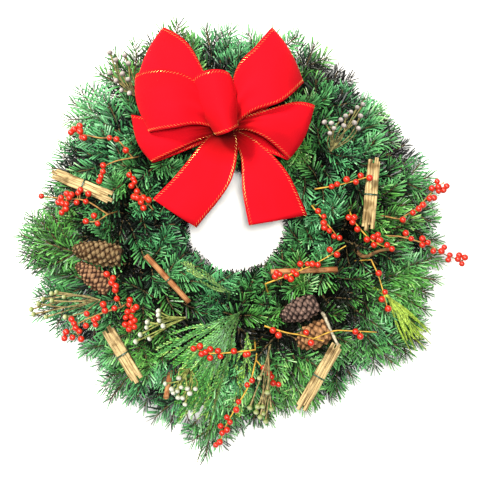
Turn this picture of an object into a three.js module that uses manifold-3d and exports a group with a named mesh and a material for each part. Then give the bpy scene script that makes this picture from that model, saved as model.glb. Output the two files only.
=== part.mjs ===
// A fresh evergreen wreath, lying on its back: fir bunches clamped to a wire ring,
// with cedar, berry twigs, cones, sticks and a velvet ribbon bow on top.
// Millimetres, +Z up. The origin is under the middle of the wreath, on the surface.
import * as THREE from 'three';
import { mergeVertices } from 'three/addons/utils/BufferGeometryUtils.js';
import Module from 'manifold-3d';

const wasm = await Module();
wasm.setup();

// ---------- driving dimensions ----------
const GAP = 0.3;                      // clearance between pieces that touch
const HOLE = [-7, 26];                // centre of the ring and of the hole
const HOLE_RADIUS = 62;               // no foliage reaches further in than this
const SECTORS = 12;                   // one clamp and one fir bunch to each
const STRIP = { inner: 108, outer: 158, width: 10, thick: 1.6, height: 26.2, lip: 22 };
const RAILS = [118, 148];             // radii of the two rails
const RAIL = { apothem: 2, low: 1.4, steps: 20 };
const RAIL_TOP = RAIL.low + 2 * RAIL.apothem;
const BUTT = { r: 133, z: 16.5, radius: 9, half: 28 };
const NEEDLE = 22;                    // length of a fir needle
const CORE = 2.6;                     // radius of a fir shoot at its root
const WHORL = 6.5;                    // length of the bands that needles are raised from
const PITCH = 19;                     // from one band to the next
const FLOOR = 1.8;                    // foliage stays above this
const CANOPY = 78;                    // fir needles stay below this
const RED_BERRY = 4.1;                // radius
const PALE_BERRY = 3.2;
const BERRY_STEP = 5;                 // every fifth berry of each list is made
const STEM = 1.4;                     // radius of a berry twig at its root
const UPRIGHT = 9;                    // a pick's foot rises straight from the rail this far
const CLAMP_CLEAR = 6.5;              // degrees from a clamp to the nearest foot
const KNEE = { along: 0.55, height: 0.62, lift: 6, below: 0.94 };
const BLADE = { thick: 0.8, half: 1.4, droop: 90, bare: 0.14, start: 0.3, leaflet: 0.4 };
const CONE = { sides: 8, body: 0.66, between: 0.78, fattest: 0.38, tail: 1.5 };
const QUILL = { outer: 4.2, bark: 0.9, turns: 1.3, steps: 10, inward: 1.6 };
const STICK = {
  radius: 2.7, rise: 4, places: [[-5.2, -0.6, 0], [-1.6, 0.8, 5], [2.0, -0.4, -3], [5.4, 0.7, 2]],
};
const TIE = { wire: 0.8, sides: 8, squash: 0.52, around: 9.2 };
const RIBBON = { thick: 1.0, waist: 13 };
const KNOT = [-19, 142, 98];
const KNOT_HALF = [13, 14, 10];
const SHIFT = [6, -2];                // puts the origin under the middle of the whole wreath

// Reach of the foliage every 10 degrees, seen from the origin.
const REACH = [277, 271, 275, 268, 266, 262, 276, 292, 288, 280, 300, 308,
  294, 290, 300, 274, 282, 274, 298, 280, 298, 272, 264, 284, 270, 272,
  300, 264, 254, 250, 256, 248, 268, 292, 276, 275];

// ---------- small helpers ----------
const rad = THREE.MathUtils.degToRad;
const V = (x, y, z) => new THREE.Vector3(x, y, z);

// A repeatable draw between 0 and 1 for a whole number k.
function draw(k) {
  const s = Math.sin(k * 12.9898 + 4.1414) * 43758.5453;
  return s - Math.floor(s);
}

const twoDigits = (i) => String(i + 1).padStart(2, '0');

const spread = (k, size) => (draw(k) - 0.5) * 2 * size;

function aroundHole(radius, degrees, z) {
  return V(HOLE[0] + radius * Math.cos(rad(degrees)), HOLE[1] + radius * Math.sin(rad(degrees)), z);
}

function polar(x, y) {
  const dx = x - HOLE[0];
  const dy = y - HOLE[1];
  return { r: Math.hypot(dx, dy), a: (THREE.MathUtils.radToDeg(Math.atan2(dy, dx)) + 360) % 360 };
}

// ---------- solids ----------
function solidOf(points, triangles) {
  const vertProperties = new Float32Array(points.flatMap((p) => [p.x, p.y, p.z]));
  return new wasm.Manifold(new wasm.Mesh({
    numProp: 3, vertProperties, triVerts: new Uint32Array(triangles.flat()),
  }));
}

function solidOfGeometry(geometry) {
  const bare = geometry.clone();
  bare.deleteAttribute('normal');
  bare.deleteAttribute('uv');
  const merged = mergeVertices(bare, 1e-4);
  return new wasm.Manifold(new wasm.Mesh({
    numProp: 3,
    vertProperties: new Float32Array(merged.attributes.position.array),
    triVerts: new Uint32Array(merged.index.array),
  }));
}

// Joins solids and keeps the largest body, so a loose scrap is dropped.
function join(solids) {
  const whole = wasm.Manifold.union(solids);
  return whole.decompose().sort((a, b) => b.volume() - a.volume())[0];
}

const wreath = new THREE.Group();

function addPiece(name, solid, color, roughness = 0.7, metalness = 0) {
  const { vertProperties, triVerts } = solid.getMesh();
  const geometry = new THREE.BufferGeometry();
  geometry.setAttribute('position', new THREE.BufferAttribute(new Float32Array(vertProperties), 3));
  geometry.setIndex(new THREE.BufferAttribute(new Uint32Array(triVerts), 1));
  geometry.computeVertexNormals();
  const mesh = new THREE.Mesh(geometry, new THREE.MeshStandardMaterial({ color, roughness, metalness }));
  mesh.name = name;
  wreath.add(mesh);
}

// Frames carried along a line of points without twisting.
function framesAlong(points) {
  const frames = [];
  let side = null;
  points.forEach((p, i) => {
    const before = points[Math.max(i - 1, 0)];
    const after = points[Math.min(i + 1, points.length - 1)];
    const forward = after.clone().sub(before).normalize();
    if (side === null) {
      side = Math.abs(forward.z) < 0.8 ? V(0, 0, 1) : V(1, 0, 0);
    }
    side = side.clone().addScaledVector(forward, -side.dot(forward)).normalize();
    frames.push({ p, forward, side, up: forward.clone().cross(side) });
  });
  return frames;
}

// Closed skin over rings of equally many points, with a fan at each end.
function skinOf(rings) {
  const n = rings[0].length;
  const points = rings.flat();
  const triangles = [];
  for (let j = 0; j + 1 < rings.length; j += 1) {
    for (let i = 0; i < n; i += 1) {
      const a = j * n + i;
      const b = j * n + ((i + 1) % n);
      triangles.push([a, b, b + n], [a, b + n, a + n]);
    }
  }
  const last = (rings.length - 1) * n;
  for (let i = 1; i + 1 < n; i += 1) {
    triangles.push([0, i + 1, i], [last, last + i, last + i + 1]);
  }
  return solidOf(points, triangles);
}

// A round stem along points, with a radius for each point.
function stemAlong(points, radii, sides) {
  const rings = framesAlong(points).map(({ p, side, up }, j) => {
    const ring = [];
    for (let i = 0; i < sides; i += 1) {
      const a = (2 * Math.PI * (i + 0.5)) / sides;
      ring.push(p.clone().addScaledVector(side, radii[j] * Math.cos(a))
        .addScaledVector(up, radii[j] * Math.sin(a)));
    }
    return ring;
  });
  return skinOf(rings);
}

function taper(count, from, to) {
  return Array.from({ length: count }, (_, i) => from + ((to - from) * i) / (count - 1));
}

// ---------- what foliage keeps clear of ----------
const obstacles = [];                 // capsules: two ends and a radius
const ceilings = [];                  // flat sprays: a rib's two ends and a half width

function avoidLine(points, radius) {
  for (let i = 0; i + 1 < points.length; i += 1) {
    obstacles.push({ a: points[i], b: points[i + 1], r: radius });
  }
}

function segmentDistance(p, q, a, b) {
  const d1 = q.clone().sub(p);
  const d2 = b.clone().sub(a);
  const r = p.clone().sub(a);
  const A = d1.dot(d1) + 1e-9;
  const E = d2.dot(d2) + 1e-9;
  const F = d2.dot(r);
  const C = d1.dot(r);
  const B = d1.dot(d2);
  const denominator = A * E - B * B;
  let s = denominator > 1e-9 ? THREE.MathUtils.clamp((B * F - C * E) / denominator, 0, 1) : 0;
  const t = THREE.MathUtils.clamp((B * s + F) / E, 0, 1);
  s = THREE.MathUtils.clamp((B * t - C) / A, 0, 1);
  return p.clone().addScaledVector(d1, s).distanceTo(a.clone().addScaledVector(d2, t));
}

function underCeilings(point, margin) {
  return ceilings.every(({ a, b, half }) => {
    const along = V(b.x - a.x, b.y - a.y, 0);
    const share = V(point.x - a.x, point.y - a.y, 0).dot(along) / along.lengthSq();
    const t = THREE.MathUtils.clamp(share, 0, 1);
    const x = a.x + (b.x - a.x) * t;
    const y = a.y + (b.y - a.y) * t;
    const z = a.z + (b.z - a.z) * t;
    return Math.hypot(point.x - x, point.y - y) > half || point.z < z - margin;
  });
}

// Whether a needle or shoot from p to q, r thick, is clear of everything listed.
function isClear(p, q, r, others) {
  if (Math.min(p.z, q.z) < FLOOR + r || Math.max(p.z, q.z) > CANOPY) return false;
  for (let i = 0; i <= 4; i += 1) {
    const m = p.clone().lerp(q, i / 4);
    const { r: radius } = polar(m.x, m.y);
    if (radius < HOLE_RADIUS || !underCeilings(m, r + 1.6)) return false;
    for (const rail of RAILS) {
      const away = Math.hypot(radius - rail, m.z - RAIL.low - RAIL.apothem);
      if (away < RAIL.apothem + 0.5 + r + GAP) return false;
    }
  }
  return others.every((o) => segmentDistance(p, q, o.a, o.b) > o.r + r + 1.5 * GAP);
}

// ---------- ring frame ----------
function railSolid(radius) {
  const half = RAIL.apothem * Math.tan(Math.PI / 6);
  const low = RAIL.low;
  const section = [
    [radius - half, low], [radius + half, low], [radius + 2 * half, low + RAIL.apothem],
    [radius + half, RAIL_TOP], [radius - half, RAIL_TOP], [radius - 2 * half, low + RAIL.apothem],
    [radius - half, low],
  ].map(([x, y]) => new THREE.Vector2(x, y));
  const lathe = new THREE.LatheGeometry(section, RAIL.steps);
  lathe.rotateX(Math.PI / 2);
  lathe.translate(HOLE[0], HOLE[1], 0);
  return solidOfGeometry(lathe);
}

// A flat strip under both rails, its ends folded up and back over the stems.
function clampSolid(degrees) {
  const { inner, outer, width, thick, height, lip } = STRIP;
  const outline = new THREE.Shape([
    [inner, 0], [outer, 0], [outer, height], [outer - lip, height], [outer - lip, height - thick],
    [outer - thick, height - thick], [outer - thick, thick], [inner + thick, thick],
    [inner + thick, height - thick], [inner + lip, height - thick], [inner + lip, height], [inner, height],
  ].map(([x, y]) => new THREE.Vector2(x, y)));
  const strip = new THREE.ExtrudeGeometry(outline, { depth: width, bevelEnabled: false });
  strip.translate(0, 0, -width / 2);
  strip.rotateX(Math.PI / 2);
  strip.rotateZ(rad(degrees));
  strip.translate(HOLE[0], HOLE[1], 0);
  return solidOfGeometry(strip);
}

const sectorAngle = (i) => (360 / SECTORS) * i;

function addRingFrame() {
  const solids = RAILS.map(railSolid);
  for (let i = 0; i < SECTORS; i += 1) solids.push(clampSolid(sectorAngle(i)));
  addPiece('ring_frame', join(solids), 0x2f5d3a, 0.5, 0.6);
}

// The spot on the nearer rail, clear of the clamps, where a pick is wired down.
function footFor(x, y, turn = 0) {
  const { r, a: seen } = polar(x, y);
  const a = seen + turn;
  const rail = Math.abs(r - RAILS[0]) < Math.abs(r - RAILS[1]) ? RAILS[0] : RAILS[1];
  const nearest = Math.round(a / (360 / SECTORS)) * (360 / SECTORS);
  const off = a - nearest;
  const angle = Math.abs(off) < CLAMP_CLEAR ? nearest + CLAMP_CLEAR * (off < 0 ? -1 : 1) : a;
  return aroundHole(rail, angle, RAIL_TOP + GAP);
}

const upright = (foot) => foot.clone().setZ(foot.z + UPRIGHT);

// The hidden part of a pick's stem: up from the rail, then slanting to its base. With a depth
// given, it slants below that depth and rises straight to its base.
function legTo(base, { turn = 0, depth = 0 } = {}) {
  const foot = footFor(base.x, base.y, turn);
  const knee = depth ? foot.clone().lerp(base, KNEE.below).setZ(depth)
    : foot.clone().lerp(base, KNEE.along).setZ(base.z * KNEE.height + KNEE.lift);
  return [foot, upright(foot), knee, base];
}

// ---------- twigs with berries ----------
// A berry on its stalk: the corner of the ball that faces the stem is drawn out into it.
function berrySolid(center, radius, root, fine) {
  const ball = fine ? new THREE.IcosahedronGeometry(radius, 0) : new THREE.OctahedronGeometry(radius, 0);
  const position = ball.attributes.position;
  const way = root.clone().sub(center);
  const corner = V(position.getX(0), position.getY(0), position.getZ(0));
  ball.applyQuaternion(new THREE.Quaternion().setFromUnitVectors(
    corner.clone().normalize(), way.clone().normalize()));
  const facing = way.clone().setLength(radius);
  for (let i = 0; i < position.count; i += 1) {
    const p = V(position.getX(i), position.getY(i), position.getZ(i));
    if (p.distanceTo(facing) < 0.01 && way.length() > radius) position.setXYZ(i, way.x, way.y, way.z);
  }
  ball.translate(center.x, center.y, center.z);
  return solidOfGeometry(ball);
}

function nearestOn(points, target) {
  let best = null;
  points.slice(0, -1).forEach((a, i) => {
    const d = points[i + 1].clone().sub(a);
    const t = THREE.MathUtils.clamp(target.clone().sub(a).dot(d) / d.lengthSq(), 0.02, 0.98);
    const p = a.clone().addScaledVector(d, t);
    if (best === null || p.distanceTo(target) < best.distanceTo(target)) best = p;
  });
  return best;
}

// A twig: its first branch runs up from the ring, and the others leave it at its listed base.
function twigLines({ stems, z, leg }) {
  const lines = stems.map((stem) => stem.map(([x, y], i) => V(x, y, z + 3 * Math.sin(i * 1.3))));
  lines[0] = [...legTo(lines[0][0], leg).slice(0, -1), ...lines[0]];
  return lines;
}

function addRedTwig(name, twig, first) {
  const lines = twigLines(twig);
  const parts = lines.map((line, i) => stemAlong(line, taper(line.length, i ? 1.1 : STEM, 0.8), 3));
  lines.forEach((line) => avoidLine(line, STEM));
  twig.berries.forEach(([x, y], i) => {
    if (i % BERRY_STEP) return;
    const center = V(x, y, twig.z + 1 + 4 * draw(first + i));
    const root = lines.map((line) => nearestOn(line, center))
      .sort((a, b) => a.distanceTo(center) - b.distanceTo(center))[0];
    parts.push(berrySolid(center, RED_BERRY, root, true));
    avoidLine([root, center], 0.8);
    avoidLine([center, center], RED_BERRY);
  });
  addPiece(name, join(parts), 0xc22a14, 0.35);
}

function addPaleSprig(name, { base, tips, z, leg: route }, first) {
  const root = V(base[0], base[1], z - 8);
  const leg = legTo(root, route);
  const parts = [stemAlong(leg, taper(leg.length, 1.6, 1.3), 4)];
  avoidLine(leg, 2);
  tips.forEach(([x, y], i) => {
    if (i % BERRY_STEP) return;
    const tip = V(x, y, z + 6 * draw(first + i));
    const start = root.clone().lerp(leg[2], 0.035 * i);
    const neck = tip.clone().lerp(root, 0.25);
    parts.push(stemAlong([start, neck], [1.1, 0.8], 3));
    parts.push(berrySolid(tip, PALE_BERRY, tip.clone().lerp(root, 0.4), false));
    avoidLine([start, tip], 2);
    avoidLine([tip, tip], PALE_BERRY + 0.6);
  });
  addPiece(name, join(parts), 0xb7b99a, 0.6);
}

function addBareTwig(name, { line, z, radius, leg }, color) {
  const points = line.map(([x, y], i) => V(x, y, z + 2 * i));
  const whole = [...legTo(points[0], leg).slice(0, -1), ...points];
  avoidLine(whole, radius);
  addPiece(name, stemAlong(whole, taper(whole.length, radius, radius * 0.7), 6), color, 0.9);
}

// ---------- cones ----------
// Rows of scales stand out of the cone's body, each row half a step round from the last.
function addCone(name, { tip, base, radius, z, rows }, color) {
  const a = V(base[0], base[1], z);
  const b = V(tip[0], tip[1], z);
  const axis = b.clone().sub(a);
  const length = axis.length();
  axis.normalize();
  const across = V(-axis.y, axis.x, 0);
  const up = V(0, 0, 1);
  const girth = (t) => radius * Math.sqrt(Math.max(0, 1 - ((t - CONE.fattest) / 0.68) ** 2));
  const at = (t, angle, r) => a.clone().addScaledVector(axis, t * length)
    .addScaledVector(across, r * Math.cos(angle)).addScaledVector(up, r * Math.sin(angle));
  const { sides } = CONE;
  const rings = [];
  for (let row = 0; row < rows; row += 1) {
    const t = 0.02 + (0.9 * row) / rows;
    const r = girth(t);
    const turn = (Math.PI * row) / sides;
    const angles = Array.from({ length: sides }, (_, i) => turn + (2 * Math.PI * i) / sides);
    rings.push(angles.map((angle) => at(t, angle, r * CONE.body)));
    rings.push(angles.map((angle, i) => (i % 2 ? at(t + 0.02, angle, r * CONE.between)
      : at(t + 0.07, angle, r + 1))));
  }
  rings.push(Array.from({ length: sides }, (_, i) => at(1, (2 * Math.PI * i) / sides, CONE.tail)));
  const foot = footFor(a.x, a.y);
  const leg = [foot, upright(foot), a.clone().addScaledVector(axis, 3)];
  avoidLine(leg, 1.8);
  for (const t of [0.12, 0.36, 0.6, 0.82]) avoidLine([at(t, 0, 0), at(t, 0, 0)], girth(t) + 1.5);
  addPiece(name, join([skinOf(rings), stemAlong(leg, [1.5, 1.5, 1.8], 5)]), color, 0.85);
}

// ---------- sticks and ties ----------
// A quill of bark: one strip rolled up on itself.
function addQuill(name, { ends, z, tie }, color) {
  const { outer, bark, turns, steps } = QUILL;
  const spiral = (inset) => Array.from({ length: steps + 1 }, (_, i) => {
    const a = (turns * 2 * Math.PI * i) / steps;
    const r = outer - (QUILL.inward * i) / steps - inset;
    return new THREE.Vector2(r * Math.cos(a), r * Math.sin(a));
  });
  const shape = new THREE.Shape([...spiral(0), ...spiral(bark).reverse()]);
  const a = V(ends[0][0], ends[0][1], z[0]);
  const b = V(ends[1][0], ends[1][1], z[1]);
  const quill = new THREE.ExtrudeGeometry(shape, { depth: a.distanceTo(b), bevelEnabled: false });
  quill.applyMatrix4(new THREE.Matrix4().makeRotationFromQuaternion(
    new THREE.Quaternion().setFromUnitVectors(V(0, 0, 1), b.clone().sub(a).normalize())));
  quill.translate(a.x, a.y, a.z);
  avoidLine([a, b], outer);
  addTie(tie, a, b, outer + GAP);
  addPiece(name, solidOfGeometry(quill), color, 0.8);
}

// Four split sticks lying together, overlapping a little along their sides.
function addStickBundle(name, { ends, z, tie }) {
  const a = V(ends[0][0], ends[0][1], z);
  const b = V(ends[1][0], ends[1][1], z + STICK.rise);
  const axis = b.clone().sub(a).normalize();
  const across = V(-axis.y, axis.x, 0);
  const beside = (end, side) => end.clone().addScaledVector(across, side);
  const parts = STICK.places.map(([side, lift, slip], i) => {
    const splay = spread(i + tie.number * 7, 1);
    const shift = axis.clone().multiplyScalar(slip).add(V(0, 0, lift));
    const line = [beside(a, side + splay).add(shift), beside(b, side - splay).add(shift)];
    return stemAlong(line, [STICK.radius, STICK.radius], 5);
  });
  for (const side of [-4.5, 4.5]) avoidLine([beside(a, side), beside(b, side)], 4.6);
  addPiece(name, join(parts), 0xd9c49a, 0.8);
  addTie(tie, a, b, TIE.around);
}

// A wire wound round a bundle at its middle, with its twisted leg down to the rail.
function addTie({ number, place = 0.52, turn = 0 }, a, b, reach) {
  const axis = b.clone().sub(a).normalize();
  const across = V(-axis.y, axis.x, 0).normalize();
  const up = axis.clone().cross(across).normalize();
  const middle = a.clone().lerp(b, place);
  const { wire, sides } = TIE;
  const flat = reach === TIE.around ? TIE.squash : 1;
  const ring = (r) => Array.from({ length: sides }, (_, i) => {
    const t = (2 * Math.PI * i) / sides;
    return new THREE.Vector2((r + wire) * Math.cos(t), (r * flat + wire) * Math.sin(t));
  });
  const band = new THREE.Shape(ring(reach + wire));
  band.holes.push(new THREE.Path(ring(reach - wire)));
  const loop = new THREE.ExtrudeGeometry(band, { depth: 2 * wire, bevelEnabled: false });
  loop.applyMatrix4(new THREE.Matrix4().makeBasis(across, up, across.clone().cross(up)));
  loop.translate(middle.x, middle.y, middle.z);
  const under = middle.clone().addScaledVector(up, (up.z > 0 ? -1 : 1) * (reach * flat + wire));
  const foot = footFor(middle.x, middle.y, turn);
  const leg = [foot, upright(foot), under.clone().setZ(under.z * 0.7), under];
  avoidLine(leg, 1.6);
  avoidLine([-reach, reach].map((side) => middle.clone().addScaledVector(across, side)), 4);
  const twist = stemAlong(leg, taper(leg.length, 0.9, 0.9), 4);
  addPiece(`tie_wire_${number}`, join([solidOfGeometry(loop), twist]), 0x3d5a34, 0.5, 0.4);
}

// ---------- flat sprays ----------
// One rib of cedar: a thin blade bent along its rib, with a strip down its middle and leaflets
// that stand out of both edges of the strip.
function cedarBlade({ rib, width, teeth }, seed) {
  const curve = new THREE.CatmullRomCurve3(rib.map(([x, y, z]) => V(x, y, z)));
  const length = curve.getLength();
  const at = (x, w, face) => {
    const t = THREE.MathUtils.clamp(x / length, 0, 1);
    const forward = curve.getTangentAt(t);
    const across = V(-forward.y, forward.x, 0).normalize();
    const up = forward.clone().cross(across);
    return curve.getPointAt(t).addScaledVector(forward, x - t * length).addScaledVector(across, w)
      .addScaledVector(up, face * BLADE.thick / 2 - (w * w) / BLADE.droop);
  };
  // stations of the strip, where leaflets start and end in turn
  const stations = [0];
  for (let i = 0; i < teeth; i += 1) {
    const s = BLADE.bare + ((1 - BLADE.bare) * (i + BLADE.start)) / (teeth + BLADE.leaflet);
    stations.push(s * length, (s + BLADE.leaflet / teeth) * length);
  }
  const rim = [];                     // the outline, once round
  const strip = [];                   // pairs of outline places across the strip
  const leaflets = [];
  stations.forEach((x) => { strip.push([rim.push([x, BLADE.half]) - 1]); });
  const end = rim.push([length, 0]) - 1;
  stations.forEach((x, j) => { strip[j].push(rim.push([x, -BLADE.half]) - 1); });
  const order = [];
  for (const sign of [1, -1]) {
    const half = [];
    stations.forEach((x, j) => {
      const own = strip[j][sign > 0 ? 0 : 1];
      half.push(own);
      if (j % 2 === 0) return;
      const i = (j - 1) / 2;
      const share = x / length;
      const size = 0.8 + 0.4 * draw(seed + i * 3 + sign);
      const reach = width * size * Math.sin(Math.PI * (0.18 + 0.74 * share));
      const tip = rim.push([x + reach * 1.2, sign * reach]) - 1;
      half.push(tip);
      leaflets.push(sign > 0 ? [own, strip[j + 1][0], tip] : [own, tip, strip[j + 1][1]]);
    });
    order.push(half);
  }
  const outline = [...order[0], end, ...order[1].reverse()];
  const face = [...leaflets];
  for (let j = 0; j + 1 < stations.length; j += 1) {
    const [a, b] = strip[j];
    const [c, d] = strip[j + 1];
    face.push([a, b, c], [b, d, c]);
  }
  const [a, b] = strip[strip.length - 1];
  face.push([a, b, end]);
  const n = rim.length;
  const points = [1, -1].flatMap((side) => rim.map(([x, w]) => at(x, w, side)));
  const triangles = face.flatMap(([i, j, k]) => [[i, j, k], [n + i, n + k, n + j]]);
  outline.forEach((from, i) => {
    const to = outline[(i + 1) % outline.length];
    triangles.push([from, to, n + to], [from, n + to, n + from]);
  });
  const ribPoints = curve.getSpacedPoints(6);
  for (let i = 0; i < 6; i += 1) {
    ceilings.push({ a: ribPoints[i], b: ribPoints[i + 1], half: width + 4 });
  }
  const solid = solidOf(points, triangles);
  return solid.volume() > 0 ? solid : solidOf(points, triangles.map(([i, j, k]) => [i, k, j]));
}

function addCedar(name, { ribs, foot, leg: route }, color, seed) {
  const parts = ribs.map((rib, i) => cedarBlade(rib, seed + 100 * i));
  const [x, y, z] = ribs[0].rib[0];
  const base = V(x, y, z);
  const leg = legTo(base, route);
  const forward = V(...ribs[0].rib[1]).sub(base).normalize();
  const line = [...leg, base.clone().addScaledVector(forward, 6)];
  parts.push(stemAlong(line, taper(line.length, foot, foot * 0.8), 4));
  avoidLine(line, foot + 0.4);
  addPiece(name, join(parts), color, 0.7);
}

function addTuft(name, { base, tips, z }, color) {
  const root = V(base[0], base[1], z);
  const leg = legTo(root);
  const parts = [stemAlong(leg, taper(leg.length, 2, 2.6), 5)];
  avoidLine(leg, 2.6);
  tips.forEach(([x, y, tipZ], i) => {
    const tip = V(x, y, tipZ);
    const bow = root.clone().lerp(tip, 0.5).add(V(spread(i + 900, 5), spread(i + 940, 5), 5));
    const line = [root, bow, tip];
    parts.push(stemAlong(line, [1.6, 1.3, 0.7], 3));
    avoidLine(line, 1.6);
  });
  addPiece(name, join(parts), color, 0.6);
}

// ---------- ribbon bow ----------
// A strip between two edges, given by stations of both edges, with a thickness of its own.
function ribbonSolid(stations, steps) {
  const edge = (k) => new THREE.CatmullRomCurve3(stations.map((s) => V(...s[k])), false, 'centripetal');
  const left = edge(0).getPoints(steps);
  const right = edge(1).getPoints(steps);
  const middle = left.map((p, i) => p.clone().lerp(right[i], 0.5));
  const points = [];
  middle.forEach((m, i) => {
    const along = middle[Math.min(i + 1, steps)].clone().sub(middle[Math.max(i - 1, 0)]);
    const out = right[i].clone().sub(left[i]).cross(along).normalize().multiplyScalar(RIBBON.thick / 2);
    points.push(left[i].clone().add(out), right[i].clone().add(out),
      right[i].clone().sub(out), left[i].clone().sub(out));
  });
  const triangles = [[0, 1, 3], [1, 2, 3]];
  for (let i = 0; i < steps; i += 1) {
    const k = 4 * i;
    // front and back are split along the same diagonal, so they never cross
    triangles.push([k, k + 4, k + 5], [k, k + 5, k + 1], [k + 3, k + 6, k + 7], [k + 3, k + 2, k + 6],
      [k, k + 3, k + 7], [k, k + 7, k + 4], [k + 1, k + 5, k + 6], [k + 1, k + 6, k + 2]);
  }
  const e = 4 * steps;
  triangles.push([e, e + 3, e + 1], [e + 1, e + 3, e + 2]);
  const solid = solidOf(points, triangles);
  return solid.volume() > 0 ? solid : solidOf(points, triangles.map(([a, b, c]) => [a, c, b]));
}

// A loop leaves the waist low, folds over at its far edge and comes back high.
function loopStations({ far, back, low, angle }) {
  const [kx, ky, kz] = KNOT;
  const dx = RIBBON.waist / 2 * Math.cos(rad(angle));
  const dy = RIBBON.waist / 2 * Math.sin(rad(angle));
  const start = [[kx - dx, ky - dy, kz - 3], [kx + dx, ky + dy, kz - 3]];
  const end = [[kx - dx, ky - dy, kz + 5], [kx + dx, ky + dy, kz + 5]];
  const under = (t) => far.map(([x, y], k) => [
    start[k][0] + (x - start[k][0]) * t, start[k][1] + (y - start[k][1]) * t, low]);
  return [start, under(0.45), under(0.88), far, ...back, end];
}

function addBow(loops, centre, tails) {
  const parts = loops.map((loop) => ribbonSolid(loopStations(loop), 8));
  parts.push(ribbonSolid(centre, 12));
  for (const tail of tails) parts.push(ribbonSolid(tail, 6));
  const knot = new THREE.IcosahedronGeometry(1, 0);
  knot.scale(...KNOT_HALF);
  knot.translate(...KNOT);
  parts.push(solidOfGeometry(knot));
  addPiece('bow_ribbon', join(parts), 0xd3121f, 0.8);
}

// The wire that gathers the ribbon hangs from its waist down to the inner rail.
function addBowWire() {
  const foot = footFor(KNOT[0], KNOT[1]);
  const lowest = 0.851 * KNOT_HALF[2];  // an icosahedron's lowest edge lies this far down
  const top = V(KNOT[0], KNOT[1], KNOT[2] - lowest - GAP);
  const leg = [foot, upright(foot), top.clone().setZ(top.z - 25), top];
  avoidLine(leg, 2.2);
  addPiece('bow_wire', stemAlong(leg, taper(4, 1.5, 1.5), 6), 0x3d5a34, 0.5, 0.4);
}

// ---------- fir ----------
// A shoot: a three-sided core with whorls of six needles raised from its faces.
function firShoot(line, whorls, seed, clear) {
  const curve = new THREE.CatmullRomCurve3(line);
  const length = curve.getLength();
  const places = [0];
  for (let w = whorls - 1; w >= 0; w -= 1) {
    const s = 1 - (WHORL + PITCH * w) / length;
    places.push(s - WHORL / 2 / length, s + WHORL / 2 / length);
  }
  const frames = framesAlong(places.map((s) => curve.getPointAt(THREE.MathUtils.clamp(s, 0, 1))));
  const points = [];
  frames.forEach(({ p, side, up }, j) => {
    const r = CORE * (1 - 0.55 * places[j]);
    for (let i = 0; i < 3; i += 1) {
      const a = (2 * Math.PI * (i + j / 2)) / 3;
      points.push(p.clone().addScaledVector(side, r * Math.cos(a)).addScaledVector(up, r * Math.sin(a)));
    }
  });
  const triangles = [[0, 2, 1]];
  const raise = ([a, b, c], j, lean) => {
    const center = points[a].clone().add(points[b]).add(points[c]).divideScalar(3);
    const out = points[b].clone().sub(points[a]).cross(points[c].clone().sub(points[a])).normalize();
    const axis = frames[Math.min(j, frames.length - 1)].forward;
    const k = seed + points.length * 3 + triangles.length;
    const way = out.multiplyScalar(Math.cos(lean)).addScaledVector(axis, Math.sin(lean))
      .add(V(spread(k, 0.12), spread(k + 1, 0.12), spread(k + 2, 0.12))).normalize();
    const size = [1, 0.82, 0.66].find((share) => {
      const tip = center.clone().addScaledVector(way, NEEDLE * share);
      return clear(center.clone().addScaledVector(way, 1.5), tip, j);
    });
    if (size === undefined) {
      triangles.push([a, b, c]);
      return;
    }
    const apex = points.push(center.addScaledVector(way, NEEDLE * size)) - 1;
    triangles.push([a, b, apex], [b, c, apex], [c, a, apex]);
  };
  const rings = frames.length;
  for (let j = 0; j + 1 < rings; j += 1) {
    const whorl = j % 2 === 1;
    const lean = rad(38 + 14 * places[j]);
    for (let i = 0; i < 3; i += 1) {
      const a = 3 * j + i;
      const b = 3 * j + ((i + 1) % 3);
      const c = a + 3;
      const d = b + 3;
      const faces = [[a, b, c], [b, d, c]];
      for (const face of faces) {
        if (whorl) raise(face, j, lean);
        else triangles.push(face);
      }
    }
  }
  const e = 3 * (rings - 1);
  raise([e, e + 1, e + 2], rings - 1, rad(80));
  return solidOf(points, triangles);
}

// Where each sector's shoots start on its butt and where they end.
function shootPlan(i) {
  const mid = sectorAngle(i);
  const half = 180 / SECTORS;
  const plan = [];
  REACH.forEach((reach, k) => {
    const x = (reach - 19) * Math.cos(rad(10 * k));
    const y = (reach - 19) * Math.sin(rad(10 * k));
    const { r, a } = polar(x, y);
    const off = ((a - mid + 540) % 360) - 180;
    if (Math.abs(off) >= half) return;
    plan.push({ r, off: off * 0.92, z: 20 + 13 * (k % 3), side: off / half, whorls: 3 });
  });
  const outer = plan.reduce((sum, s) => sum + s.r, 0) / plan.length;
  plan.push(
    { r: outer * 0.84, off: -6.5, z: 58, side: -0.55, whorls: 3 },
    { r: outer * 0.84, off: 5.5, z: 54, side: 0.45, whorls: 2 },
    { r: outer * 0.68, off: 9, z: 60, side: 0.8, whorls: 2 },
    { r: 152, off: 7, z: 56, side: -0.9, whorls: 2 },
    { r: 85, off: -7, z: 24, side: -0.7, whorls: 2 },
    { r: 88, off: 4, z: 52, side: 0.6, whorls: 2 },
  );
  return plan;
}

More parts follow.
